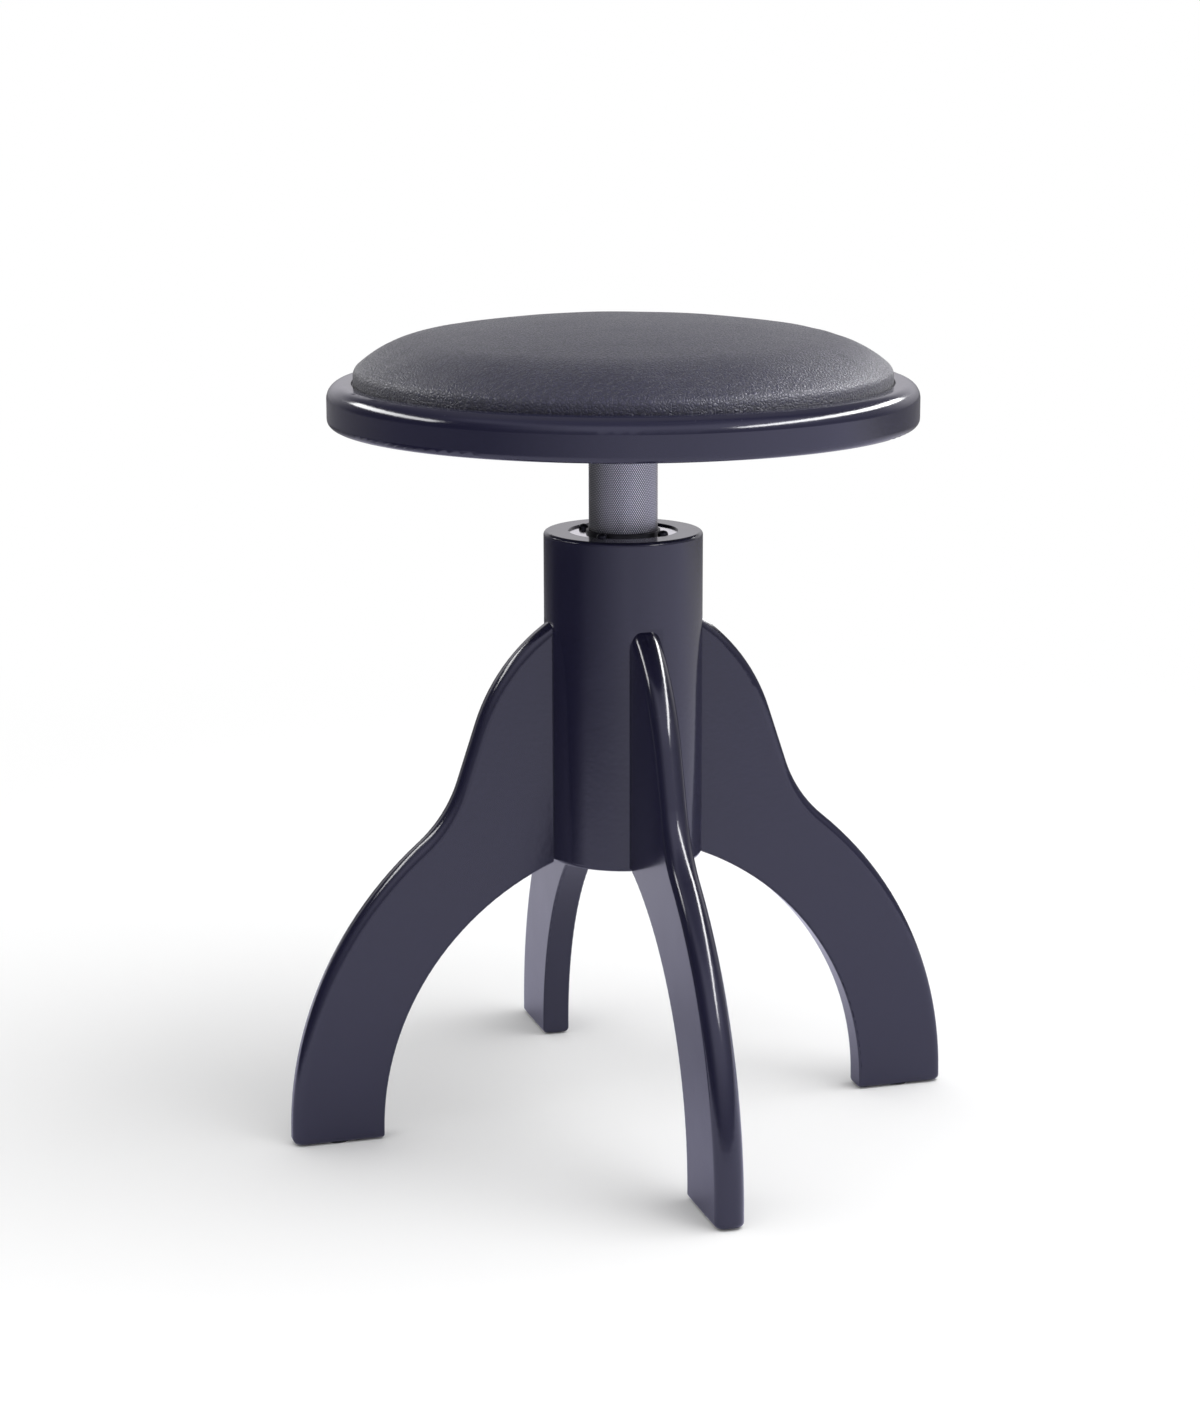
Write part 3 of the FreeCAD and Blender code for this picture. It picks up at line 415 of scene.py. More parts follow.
@effect(
    "Wood grain", {"Color": COLOUR, "Height": FLOAT}, Colour=(0.58, 0.40, 0.23, 1.0), Stretch=(1.0, 1.0, 0.1)
)
def wood_grain(place, tint, stretch):
    """Grain and pores along one direction, as a colour and a height."""
    drawn = vectors("MULTIPLY", place, stretch)
    pores = noise_at(drawn, 0.0009, 3.0, 0.7)
    tone = noise_at(drawn, 0.004, 4.0, 0.6, 1.5) * 0.7 + pores * 0.3
    return scaled(tint, fade(tone, 0.30, 0.72, 0.62, 1.12)), pores


@effect("Studio light", {"Around": COLOUR, "Floor": COLOUR})
def studio_light(place):
    """Brightness that the studio shows: in each direction above the floor, and at each place on the floor."""
    across = (math.cos(CAMERA_TURN), -math.sin(CAMERA_TURN), 0.0)
    away = (math.sin(CAMERA_TURN), math.cos(CAMERA_TURN), 0.0)
    behind = vectors("DOT_PRODUCT", place, away)
    level = vectors("NORMALIZE", level_part(place))
    ray_side, ray_back = vectors("DOT_PRODUCT", level, across), vectors("DOT_PRODUCT", level, away)
    rise = part(vectors("NORMALIZE", place), 2)
    left = mix_values(fade(rise, 0.50, 0.90), fade(ray_side, -1.0, -0.2, 0.04, 1.0), 0.85)
    back = fade(rise, -0.02, 0.17, 0.50, 0.86) * fade(rise, 0.25, 0.44, 1.0, 0.22)
    back = (back + fade(rise, 0.60, 0.95, 0.0, 0.20)) * fade(ray_side, 0.60, 0.95, 1.0, 0.45)
    front = fade(rise, 0.0, 0.60, 0.30, 1.15) * fade(rise, 0.70, 0.92, 1.0, 0.40)
    height = mix_values(fade(ray_back, -0.35, 0.35), front, back)
    reach = vectors("LENGTH", level_part(place))
    slope = maths("MULTIPLY_ADD", ray_side, 0.88, 0.91, clamp=True)
    slope = slope * fade(behind, -0.20, 2.20, 1.0, 0.22) * fade(ray_side, 0.20, 1.00, 1.0, 1.3)
    paper = mix_values(fade(reach, 0.5, 1.5), 1.0, slope)
    dark = mix_values(fade(reach, 0.40, 0.70), 1.0, fade(ray_side, -1.0, -0.78, 0.04, 1.0))
    paper = larger(paper * dark, fade(reach, 2.0, 3.2, 0.0, 0.24))
    cool, plain = (0.78, 0.77, 1.0, 1.0), (0.96, 0.94, 1.0, 1.0)
    return (
        scaled(mix_colours(fade(ray_back, -0.2, 0.7), cool, plain), left * height),
        scaled(mix_colours(fade(behind, -0.2, 1.6), cool, plain), paper),
    )


def rgba(value, factor=1.0):
    """A colour times a factor, with full alpha."""
    return (*[factor * c for c in value[:3]], 1.0)


def bump(height, distance, **normal):
    """Normal of a Bump node."""
    return out("ShaderNodeBump", {"Height": height, "Distance": distance, "Strength": 1.0, **normal})


# Each finish's function returns the inputs of its Principled shader


def lacquer(place, look, half_width=None):
    """Black satin lacquer, sprayed and rubbed. With half a board's width, its outer edge looks round."""
    feel = handling(Vector=place, Roughness=look.lacquer_roughness, Variation=0.10, Patch=0.09)
    peel = orange_peel(Vector=place, Width=look.orange_peel, Sway=5.0)
    base = mix_colours(feel.also("Mask"), rgba(look.lacquer), rgba(look.lacquer, 1.12))
    base = mix_colours(settled_dust(Vector=place, Amount=0.5), base, (0.16, 0.16, 0.17, 1.0))
    edge = {} if half_width is None else {"Normal": rounded_edge(Vector=place, Half_width=half_width)}
    return dict(Base_Color=base, Roughness=feel, Normal=bump(peel, 0.000035, **edge), Specular_IOR_Level=0.65)


def leather(place, look):
    """Black leather with a small pebble grain and fine wrinkles between the pebbles."""
    sway = out("ShaderNodeTexNoise", {"Vector": place, "Scale": 260.0, "Detail": 2.0}, "Color")
    sway = vectors("MULTIPLY_ADD", sway, (0.0012, 0.0012, 0.0012), (-0.0006, -0.0006, -0.0006))
    shifted = vectors("ADD", place, sway)
    pebbles = 1.0 / look.pebble
    cells = cells_at(shifted, pebbles, "Distance", 0.95, feature="DISTANCE_TO_EDGE")
    tone = part(cells_at(shifted, pebbles, "Color", 0.95), 0)
    wrinkle = noise_at(vectors("MULTIPLY", shifted, (1.0, 2.2, 1.0)), 0.0052, 3.0, 0.55, 1.2)
    crease = fade(maths("ABSOLUTE", wrinkle - 0.5), 0.0, 0.07)
    worn = fade(noise_at(place, 0.045, 2.0), 0.30, 0.70, 0.55, 1.0)
    height = maths("SMOOTH_MIN", cells, 0.34, 0.30) * worn
    height = height + noise_at(place, 0.00042, 3.0, 0.6) * 0.03 + crease * 0.10
    feel = handling(Vector=place, Roughness=look.leather_roughness, Variation=0.14, Patch=0.07)
    base = mix_colours(tone, rgba(look.leather, 0.84), rgba(look.leather, 1.14))
    # painted shade: the base colour darkens to half in the valleys between the pebbles
    return dict(
        Base_Color=mix_colours(fade(cells, 0.0, 0.16), rgba(look.leather, 0.5), base),
        Roughness=maths("ADD", feel, fade(cells, 0.0, 0.2, 0.22, 0.0), clamp=True),
        Normal=bump(height, 0.00090), Specular_IOR_Level=1.0, Sheen_Weight=0.26, Sheen_Roughness=0.35,
    )


def metal(place, look, tint, rough, marks, mark_depth, variation=0.12, zinc=False, grooves=None, bare=1.0):
    """A metal with a lathe's fine rings and uneven gloss. It darkens inwards between the radii in grooves."""
    tint = getattr(look, tint)
    feel = handling(Vector=place, Roughness=rough, Variation=variation, Patch=0.03)
    base = mix_colours(feel.also("Mask"), rgba(tint), rgba(tint, 0.86))
    if zinc:
        bloom = fade(noise_at(place, 0.006, 5.0, 0.7), 0.42, 0.66)
        base = mix_colours(bloom, base, (0.60 * tint[0], 0.63 * tint[1], 0.70 * tint[2], 1.0))
    # painted shade: between the radii in grooves the colour falls to 0.12 of the tint, as shade in the
    # knurl's grooves
    if grooves:
        base = mix_colours(fade(vectors("LENGTH", level_part(place)), *grooves), rgba(tint, 0.12), base)
    rings = turning_marks(Vector=place, Spacing=marks)
    return dict(Base_Color=base, Metallic=bare, Roughness=feel, Normal=bump(rings, mark_depth))


def coated(place, look, tint, rough, width, depth, sway):
    """A powder coat or a moulded plastic: small soft waves and an even sheen."""
    tint = getattr(look, tint)
    feel = handling(Vector=place, Roughness=rough, Variation=0.10, Patch=0.04)
    base = mix_colours(feel.also("Mask"), rgba(tint), rgba(tint, 1.25))
    base = mix_colours(settled_dust(Vector=place, Amount=0.35), base, (0.20, 0.20, 0.20, 1.0))
    peel = orange_peel(Vector=place, Width=width, Sway=sway)
    return dict(Base_Color=base, Roughness=feel, Normal=bump(peel, depth))


def plain_wood(place, look, stretch, layers=False):
    """Unfinished wood: grain along the piece, and darker glue lines where it is plywood."""
    base = wood_grain(Vector=place, Colour=rgba(look.plywood), Stretch=stretch)
    pores = base.also("Height")
    if layers:
        step = maths("PINGPONG", part(place, 2) - PLYWOOD_LEVEL, PLY)
        edge = fade(maths("ABSOLUTE", part(surface_normal(place.tree), 2)), 0.3, 0.7, 1.0, 0.0)
        line = fade(step, 0.0, 0.0003, 1.0, 0.0) * edge
        base = mix_colours(line * 0.6, base, (0.16, 0.09, 0.05, 1.0))
    return dict(Base_Color=base, Roughness=0.62, Normal=bump(pores, 0.00006))


def foam_cells(place, look):
    """Cut open-cell foam."""
    pores = fade(cells_at(place, 900.0, 0, feature="DISTANCE_TO_EDGE"), 0.02, 0.25)
    # painted shade: the foam darkens to 0.45 of its colour in the grooves along its cells' edges
    base = mix_colours(pores, rgba(look.foam, 0.45), rgba(look.foam))
    return dict(Base_Color=base, Roughness=0.9, Normal=bump(pores, 0.0003), Specular_IOR_Level=0.2)


# Level of one glue line and thickness of one ply, half a leg's width, and the radii between which painted
# shade darkens the knurl's grooves
PLYWOOD_LEVEL, PLY = 0.466, 0.001
LEG_HALF_WIDTH = 0.009
KNURL_PAINTED_SHADE = (0.02101, 0.02115)

# Metals: colour, roughness, spacing and depth of the lathe's rings, variation of the gloss, zinc's bloom.
# Coats: colour, roughness, width and depth of the waves, sway.
FINISHES = {
    "Black lacquer": (lacquer,),
    "Leg lacquer": (lacquer, LEG_HALF_WIDTH),
    "Black leather": (leather,),
    "Foam": (foam_cells,),
    "Plywood": (plain_wood, (0.12, 1.0, 1.0), True),
    "Dowel wood": (plain_wood, (0.25, 0.25, 1.0)),
    # The knurled steel also gives the radii of painted shade in its grooves, then its metallic share
    "Knurled steel": (metal, "knurled_steel", 0.30, 0.0008, 0.000003, 0.12, False, KNURL_PAINTED_SHADE, 0.9),
    "Plated steel": (metal, "plated_steel", 0.12, 0.0005, 0.0000012, 0.06),
    "Zinc steel": (metal, "zinc_steel", 0.38, 0.0007, 0.000005, 0.2, True),
    "Thread steel": (metal, "zinc_steel", 0.26, 0.0007, 0.000003, 0.1),
    "Bronze": (metal, "bronze", 0.30, 0.0006, 0.000006, 0.15),
    "Black screw": (metal, "black_screw", 0.30, 0.0004, 0.000002),
    "Black steel": (coated, "black_steel", 0.42, 0.0012, 0.00004, 1.5),
    "Black nylon": (coated, "black_nylon", 0.40, 0.0008, 0.00001, 0.5),
}


def empty_tree(holder):
    """The holder's node tree without nodes."""
    holder.use_nodes = True
    holder.node_tree.nodes.clear()
    return holder.node_tree


def finish(name):
    """The stool's material of that name, made the first time that it is asked for."""
    found = bpy.data.materials.get(name)
    if found is not None:
        return found
    made = bpy.data.materials.new(name)
    tree = empty_tree(made)
    place = out("ShaderNodeTexCoord", {}, "Object", tree)
    recipe, *values = FINISHES[name]
    shader = out("ShaderNodeBsdfPrincipled", recipe(place, bpy.context.scene.stool_finishes, *values))
    node("ShaderNodeOutputMaterial", {"Surface": shader})
    arrange(tree)
    return made


def dress(label, material):
    """Gives a CAD node its finish, on the object and not on its mesh."""
    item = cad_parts[label]
    if not item.material_slots:
        item.data.materials.append(None)
    for held in item.material_slots:
        held.link = "OBJECT"
        held.material = finish(material)


def new_object(name, data, material=None):
    """An object at the origin that shows a mesh, a light or a camera."""
    made = bpy.data.objects.new(name, data)
    bpy.context.scene.collection.objects.link(made)
    if material is not None:
        data.materials.clear()
        data.materials.append(finish(material))
    return made


def shade(mesh, angle=None):
    """Smooth shading, with edges sharper than the angle kept sharp."""
    mesh.polygons.foreach_set("use_smooth", [True] * len(mesh.polygons))
    if angle is not None:
        mesh.set_sharp_from_angle(angle=math.radians(angle))


def skinned(name, rings, closed=False):
    """A mesh of faces between rings of points. A ring of one point is a pole."""
    shape = bmesh.new()
    made = [[shape.verts.new(point) for point in ring] for ring in rings]
    steps = max(len(ring) for ring in rings)
    for low, high in list(zip(made, made[1:])) + ([(made[-1], made[0])] if closed else []):
        for step in range(steps):
            after = (step + 1) % steps
            corners = [low[step % len(low)], low[after % len(low)]]
            corners += [high[after % len(high)], high[step % len(high)]]
            unique = list(dict.fromkeys(corners))
            if len(unique) > 2:
                shape.faces.new(unique)
    bmesh.ops.recalc_face_normals(shape, faces=shape.faces)
    mesh = bpy.data.meshes.new(name)
    shape.to_mesh(mesh)
    shape.free()
    return mesh


def ring_turns(steps):
    """Evenly spaced angles of one turn."""
    return [math.tau * step / steps for step in range(steps)]


def revolve(name, profile, segments, closed=False):
    """A mesh turned from (radius, height) pairs round Z. Points on the axis become poles."""
    return skinned(name, [
        [(0.0, 0.0, height)] if radius < ON_AXIS
        else [(radius * math.cos(turn), radius * math.sin(turn), height) for turn in ring_turns(segments)]
        for radius, height in profile
    ], closed)


def baked(item):
    """The item's evaluated mesh, as a mesh of its own; the item's modifiers are then removed."""
    bpy.context.view_layer.update()
    graph = bpy.context.evaluated_depsgraph_get()
    mesh = bpy.data.meshes.new_from_object(
        item.evaluated_get(graph), preserve_all_data_layers=True, depsgraph=graph
    )
    item.modifiers.clear()
    return mesh


def rebake(item):
    """Puts the item's evaluated mesh in the place of its mesh."""
    old, item.data = item.data, baked(item)
    bpy.data.meshes.remove(old)


def grow(name, tree, **inputs):
    """A plain object from a Geometry Nodes tree. Inputs are given by name and set by identifier."""
    holder = new_object(name, bpy.data.meshes.new(name))
    maker = holder.modifiers.new("Maker", "NODES")
    maker.node_group = tree
    known = {item.name: item.identifier for item in tree.interface.items_tree if item.in_out == "INPUT"}
    for key, value in inputs.items():
        maker[known[key.replace("_", " ")]] = value
    rebake(holder)
    return holder


def cut(item, *tools):
    """Cuts the tools' shapes out of the item and removes the tools."""
    for tool in tools:
        step = item.modifiers.new("Cut", "BOOLEAN")
        step.object, step.operation, step.solver = tool, "DIFFERENCE", "EXACT"
    rebake(item)
    for tool in tools:
        bpy.data.objects.remove(tool)


def rod(name, radius, start, end, segments=32):
    """A plain rod between two points, used as a cutter."""
    start, end = Vector(start), Vector(end)
    reach = (end - start).length
    mesh = revolve(name, [(0, 0), (radius, 0), (radius, reach), (0, reach)], segments)
    turn = (end - start).to_track_quat("Z", "Y").to_matrix().to_4x4()
    mesh.transform(Matrix.Translation(start) @ turn)
    return new_object(name, mesh)


def geometry_tree(name, inputs, build):
    """A Geometry Nodes tree that ends in Realize Instances and Set Material."""
    def whole(*given):
        *values, material = given
        real = out("GeometryNodeRealizeInstances", {0: build(*values)})
        return out("GeometryNodeSetMaterial", {0: real, "Material": material})

    outputs = {"Geometry": "NodeSocketGeometry"}
    return node_group("GeometryNodeTree", name, {**inputs, "Material": None}, outputs, whole)


def grid_place(tree, columns, rows):
    """A grid with that many columns and rows of points, and its column and row numbers as fields."""
    sizes = {"Size X": 1.0, "Size Y": 1.0, "Vertices X": columns, "Vertices Y": rows}
    grid = out("GeometryNodeMeshGrid", sizes, tree=tree)
    index = out("GeometryNodeInputIndex", {}, tree=tree)
    return grid, maths("FLOOR", (index + 0.5) / rows), maths("MODULO", index, rows)


def round_spot(radius, angle, height):
    """A place at a radius and an angle round Z."""
    return combined(radius * maths("COSINE", angle), radius * maths("SINE", angle), height)


def wrapped(grid, angle, radius, height):
    """The grid's points set on a round surface, with the seam and the poles closed."""
    placed = out("GeometryNodeSetPosition", {"Geometry": grid, "Position": round_spot(radius, angle, height)})
    return out("GeometryNodeMergeByDistance", {"Geometry": placed, "Distance": SEAM})


# The thread's side view: shares of the pitch and of the depth
THREAD_STEPS = ((0.0, 0.0), (0.366, 0.0), (0.5, 1.0), (0.866, 1.0))


def knurl_tree():
    """Diamond knurl: points stand where the column's and the row's numbers add up to an odd number."""
    def build(radius, depth, points, pitch, start, end):
        span = end - start
        rows = maths("ROUND", span * 2.0 / pitch) + 1.0
        grid, column, row = grid_place(radius.tree, points * 2.0 + 1.0, rows)
        last = rows - 1.0
        rim = larger(maths("LESS_THAN", row, 0.5), maths("GREATER_THAN", row, last - 0.5))
        high = larger(maths("MODULO", column + row, 2.0), rim)
        reach = radius - (1.0 - high) * depth
        skin = wrapped(grid, column * math.pi / points, reach, start + span * (row / last))
        return out("GeometryNodeTriangulate", {"Mesh": skin}, quad_method="SHORTEST_DIAGONAL")

    sizes = dict(Radius=0.02, Depth=0.0003, Points_round=110, Pitch=0.002, Start=0.0, End=0.1)
    return geometry_tree("Diamond knurl", sizes, build)


def thread_tree():
    """Trapezoidal thread: each row of a sheared grid is one edge of the thread, rising with the angle."""
    def build(radius, depth, pitch, segments, start, end, chamfer):
        steps = float(len(THREAD_STEPS))
        rows = (maths("CEIL", (end - start) / pitch) + 3.0) * steps + 1.0
        grid, column, row = grid_place(radius.tree, segments + 1.0, rows)
        edge = maths("MODULO", row, steps)
        whole = maths("FLOOR", (row + 0.5) / steps)
        place, sunk = 0.0, 0.0
        for number, (along, deep) in enumerate(THREAD_STEPS):
            here = maths("COMPARE", edge, float(number), 0.25)
            place = maths("MULTIPLY_ADD", here, along, place)
            sunk = maths("MULTIPLY_ADD", here, deep, sunk)
        climb = whole + place + (column / segments - 2.0)
        height = maths("MULTIPLY_ADD", climb, pitch, start)
        kept = maths("MINIMUM", larger(height, start), end)
        ends = larger(
            maths("LESS_THAN", height, start + END_MARGIN), maths("GREATER_THAN", height, end - END_MARGIN)
        )
        bevel = larger(chamfer - (end - kept), 0.0)
        reach = maths("MINIMUM", radius - sunk * depth, radius - bevel)
        reach = maths("MULTIPLY_ADD", ends, radius - depth - reach, reach)
        pole = larger(maths("LESS_THAN", row, 0.5), maths("GREATER_THAN", row, rows - 1.5))
        return wrapped(grid, column * math.tau / segments, reach * (1.0 - pole * ends), kept)

    return geometry_tree("Trapezoidal thread", dict(
        Radius=0.012, Depth=0.0025, Pitch=0.005, Segments=48, Start=0.0, End=0.1, Chamfer=0.002
    ), build)


# Each row of a screw's side view, from the head's middle to the point: shares of the head's radius and of the
# shank's, then shares of the head's rise, of the sunk cone's depth and of the length
POINT = ((0, 1, 0, 0, -0.82), (0, 0.35, 0, 0, -1), (0, 0, 0, 0, -1))
RAISED = (
    (0, 0, 1, 0, 0), (0.35, 0, 0.99, 0, 0), (0.72, 0, 0.86, 0, 0), (0.92, 0, 0.62, 0, 0), (1, 0, 0.36, 0, 0),
    (1, 0, 0, 0, 0), (0, 1, 0, 0, 0), *POINT,
)
SUNK = ((0, 0, 0, 0, 0), (0.5, 0, 0, 0, 0), (0.97, 0, 0, 0, 0), (1, 0, 0, -0.06, 0), (0, 1, 0, -1, 0), *POINT)
GRUB = (
    (0, 0, 0, 0, 0), (0, 0.55, 0, 0, 0), (0, 0.9, 0, 0, 0), (0, 1, 0, 0, -0.03), (0, 1, 0, 0, -0.92),
    (0, 0.7, 0, 0, -1), (0, 0, 0, 0, -1),
)
SCREW_KINDS = {"Raised screws": RAISED, "Countersunk screws": SUNK, "Grub screws": GRUB}
# Width of a cross's arm, as a share of its length, and how far a recess may be turned at random
CROSS_ARM = 0.24
SPIN, SPIN_SEED = 0.9, 7


def row_switch(row, values):
    """The vector that stands at the row's number."""
    pick = node("GeometryNodeIndexSwitch", {}, row.tree, data_type="VECTOR")
    while len(pick.index_switch_items) < len(values):
        pick.index_switch_items.new()
    put(pick.inputs, {0: row, **{number + 1: value for number, value in enumerate(values)}})
    return Wire(pick.outputs[0])


def turn_about(axis, angle):
    """A rotation about an axis."""
    return out("FunctionNodeAxisAngleToRotation", {"Axis": axis, "Angle": angle})


def screw_tree(kind):
    """Screws on a circle: a turned side view, a cross or hexagon cut into the head, and its copies."""
    rows = SCREW_KINDS[kind]
    hexagon = rows is GRUB

    def build(count, circle, first, level, tilt, head, shank, rise, reach, width, depth):
        around = 48 if hexagon else 40
        grid, column, row = grid_place(count.tree, around + 1, len(rows))
        radii = row_switch(row, [(a, b, 0.0) for a, b, *_ in rows])
        levels = row_switch(row, [line[2:] for line in rows])
        radius = vectors("DOT_PRODUCT", radii, combined(head, shank, 0.0))
        height = vectors("DOT_PRODUCT", levels, combined(rise, head - shank, reach))
        body = out("GeometryNodeFlipFaces", {0: wrapped(grid, column * (math.tau / around), radius, height)})
        deep, middle = depth * 2.0, combined(0.0, 0.0, rise)
        if hexagon:
            tools = [out("GeometryNodeMeshCylinder", {"Vertices": 6, "Radius": width, "Depth": deep})]
        else:
            arms = ((width, width * CROSS_ARM), (width * CROSS_ARM, width))
            tools = [out("GeometryNodeMeshCube", {"Size": combined(*arm, deep)}) for arm in arms]
        cutter = node("GeometryNodeMeshBoolean", {0: body}, operation="DIFFERENCE", solver="EXACT")
        for tool in tools:
            put(cutter.inputs, {1: out("GeometryNodeTransform", {"Geometry": tool, "Translation": middle})})
        facing = out("GeometryNodeInputIndex", {}, tree=count.tree) * (math.tau / count)
        points = out("GeometryNodePoints", {"Count": count, "Position": round_spot(circle, facing, 0.0)})
        range_and_seed = {2: -SPIN, 3: SPIN, "Seed": SPIN_SEED}
        spin = out("FunctionNodeRandomValue", range_and_seed, 1, count.tree, data_type="FLOAT")
        turned = turn_about(UP, spin)
        for step in (turn_about((0.0, 1.0, 0.0), tilt), turn_about(UP, facing)):
            turned = out("FunctionNodeRotateRotation", {0: turned, 1: step}, rotation_space="GLOBAL")
        copies = out("GeometryNodeInstanceOnPoints", {
            "Points": points, "Instance": Wire(cutter.outputs[0]), "Rotation": turned,
        })
        return out("GeometryNodeTransform", {
            "Geometry": copies, "Translation": combined(0.0, 0.0, level),
            "Rotation": combined(0.0, 0.0, first),
        })

    return geometry_tree(kind, dict(
        Count=4, Circle_radius=0.03, First_angle=0.0, Level=0.0, Tilt=0.0, Head_radius=0.003,
        Shank_radius=0.002, Head_rise=0.0, Length=0.02, Recess_width=0.003, Recess_depth=0.001,
    ), build)


class STOOL_OT_stage(bpy.types.Operator):
    """Makes the floor, the studio's light and the photograph's camera"""

    bl_idname = "stool.stage"
    bl_label = "Studio"

    FLOOR_RINGS, FLOOR_SEGMENTS = (0.0, 0.4, 1.0, 3.0, 12.0), 96
    LIGHT_AIM = Vector((0.0, 0.0, 0.3))

    def execute(self, context):
        look = context.scene.stool_stage
        context.scene.view_settings.view_transform = "Standard"
        self.camera(context.scene)
        rings = [(reach, 0) for reach in self.FLOOR_RINGS]
        floor = new_object("studio_floor", revolve("studio_floor", rings, self.FLOOR_SEGMENTS))
        if floor.data.polygons[0].normal.z < 0:
            floor.data.flip_normals()
        floor.data.materials.append(self.floor_material(look))
        self.surroundings(look)
        self.lamp("Softbox overhead", look.key, (1.6, 1.2), (0.9, -0.2, 1.9), shown=False)
        self.lamp("Softbox right", look.right, (1.85, 0.15), (0.80, 0.02, 0.88), lights=False)
        self.lamp("Softbox left", look.left, (0.95, 0.16), (-0.85, 0.16, 0.84), lights=False)
        return {"FINISHED"}

    def camera(self, scene):
        """The photograph's camera."""
        camera = bpy.data.cameras.new("Camera")
        camera.lens, camera.sensor_width = CAMERA_LENS, CAMERA_SENSOR
        camera.clip_start, camera.clip_end = CAMERA_CLIP
        holder = new_object("Camera", camera)
        aside, back = -CAMERA_DISTANCE * math.sin(CAMERA_TURN), -CAMERA_DISTANCE * math.cos(CAMERA_TURN)
        turn = Matrix.Rotation(CAMERA_AIM - CAMERA_TURN, 4, "Z")
        tilt = Matrix.Rotation(math.pi / 2 - CAMERA_TILT, 4, "X")
        roll = Matrix.Rotation(CAMERA_ROLL, 4, "Z")
        holder.matrix_world = Matrix.Translation((aside, back, CAMERA_HEIGHT)) @ turn @ tilt @ roll
        scene.camera = holder

    def floor_material(self, look):
        """Pale floor that keeps the shadow near the stool and turns plain white far from it."""
        made = bpy.data.materials.new("Studio floor")
        tree = empty_tree(made)
        place = out("ShaderNodeTexCoord", {}, "Object", tree)
        mirrored = out("ShaderNodeLightPath", {}, "Is Glossy Ray", tree)
        # painted light: to glossy rays the floor's colour becomes the studio light's brightness, darker on
        # the stool's left and far behind, brighter to its right; far from the stool it glows
        seen = mix_colours(mirrored, WHITE, studio_light(Vector=place).also("Floor"))
        near = out("ShaderNodeBsdfDiffuse", {"Color": vectors("MULTIPLY", seen, tuple(look.floor))})
        far = out("ShaderNodeEmission", {"Color": seen, "Strength": 1.0})
        mixed = out("ShaderNodeMixShader", {0: fade(vectors("LENGTH", place), 0.45, 1.5), 1: near, 2: far})
        node("ShaderNodeOutputMaterial", {"Surface": mixed})
        arrange(tree)
        return made

    def surroundings(self, look):
        """World: white to the camera, the studio's own brightness in reflections, plain light otherwise."""
        world = bpy.data.worlds.new("Studio")
        bpy.context.scene.world = world
        tree = empty_tree(world)
        mirrored = out("ShaderNodeLightPath", {}, "Is Glossy Ray", tree)
        bright = studio_light(Vector=out("ShaderNodeTexCoord", {}, "Generated", tree))
        shown = mix_colours(mirrored, rgba([look.ambient] * 3), bright)
        shown = mix_colours(mirrored.also("Is Transmission Ray"), shown, WHITE)
        shown = mix_colours(mirrored.also("Is Camera Ray"), shown, WHITE)
        sky = out("ShaderNodeBackground", {"Color": shown, "Strength": 1.0})
        node("ShaderNodeOutputWorld", {"Surface": sky})
        arrange(tree)

    def lamp(self, name, watts, size, place, shown=True, lights=True):
        """A rectangular softbox that looks at the stool. place is as the camera sees it: right, away, up.

        shown is for its reflection in glossy surfaces, lights for its light on dull ones.
        """
        light = bpy.data.lights.new(name, "AREA")
        light.shape = "RECTANGLE"
        light.size, light.size_y = size
        light.energy = watts
        holder = new_object(name, light)
        holder.visible_camera = False
        holder.visible_glossy = shown
        holder.visible_diffuse = lights
        holder.location = spot = Matrix.Rotation(-CAMERA_TURN, 3, "Z") @ Vector(place)
        holder.rotation_euler = (self.LIGHT_AIM - spot).to_track_quat("-Z", "Y").to_euler()


class STOOL_OT_woodwork(bpy.types.Operator):
    """Lacquers the column, the legs and the seat disc, and grains the wood that stays bare"""

    bl_idname = "stool.woodwork"
    bl_label = "Woodwork"

    NODE_FINISHES = {
        "column": "Black lacquer", "seat_disc": "Black lacquer",
        "leg_right": "Leg lacquer", "leg_back": "Leg lacquer",
        "leg_left": "Leg lacquer", "leg_front": "Leg lacquer",
        "leg_dowels": "Dowel wood", "cushion_board": "Plywood",
    }

    def execute(self, context):
        for label, material in self.NODE_FINISHES.items():
            dress(label, material)
        return {"FINISHED"}


class STOOL_OT_metalwork(bpy.types.Operator):
    """Finishes the guide, the stops, the plates, the nut and the glides"""

    bl_idname = "stool.metalwork"
    bl_label = "Metalwork and bush"

    NODE_FINISHES = {
        "guide_ring": "Plated steel", "guide_bush": "Black nylon", "guide_liner": "Zinc steel",
        "stop_ring": "Zinc steel", "base_plate": "Black steel", "seat_plate": "Black steel",
        "spindle_key": "Zinc steel", "nut_pins": "Zinc steel", "post_clips": "Zinc steel",
        "spindle_nut": "Bronze", "foot_glides": "Black nylon",
    }

    def execute(self, context):
        for label, material in self.NODE_FINISHES.items():
            dress(label, material)
        return {"FINISHED"}


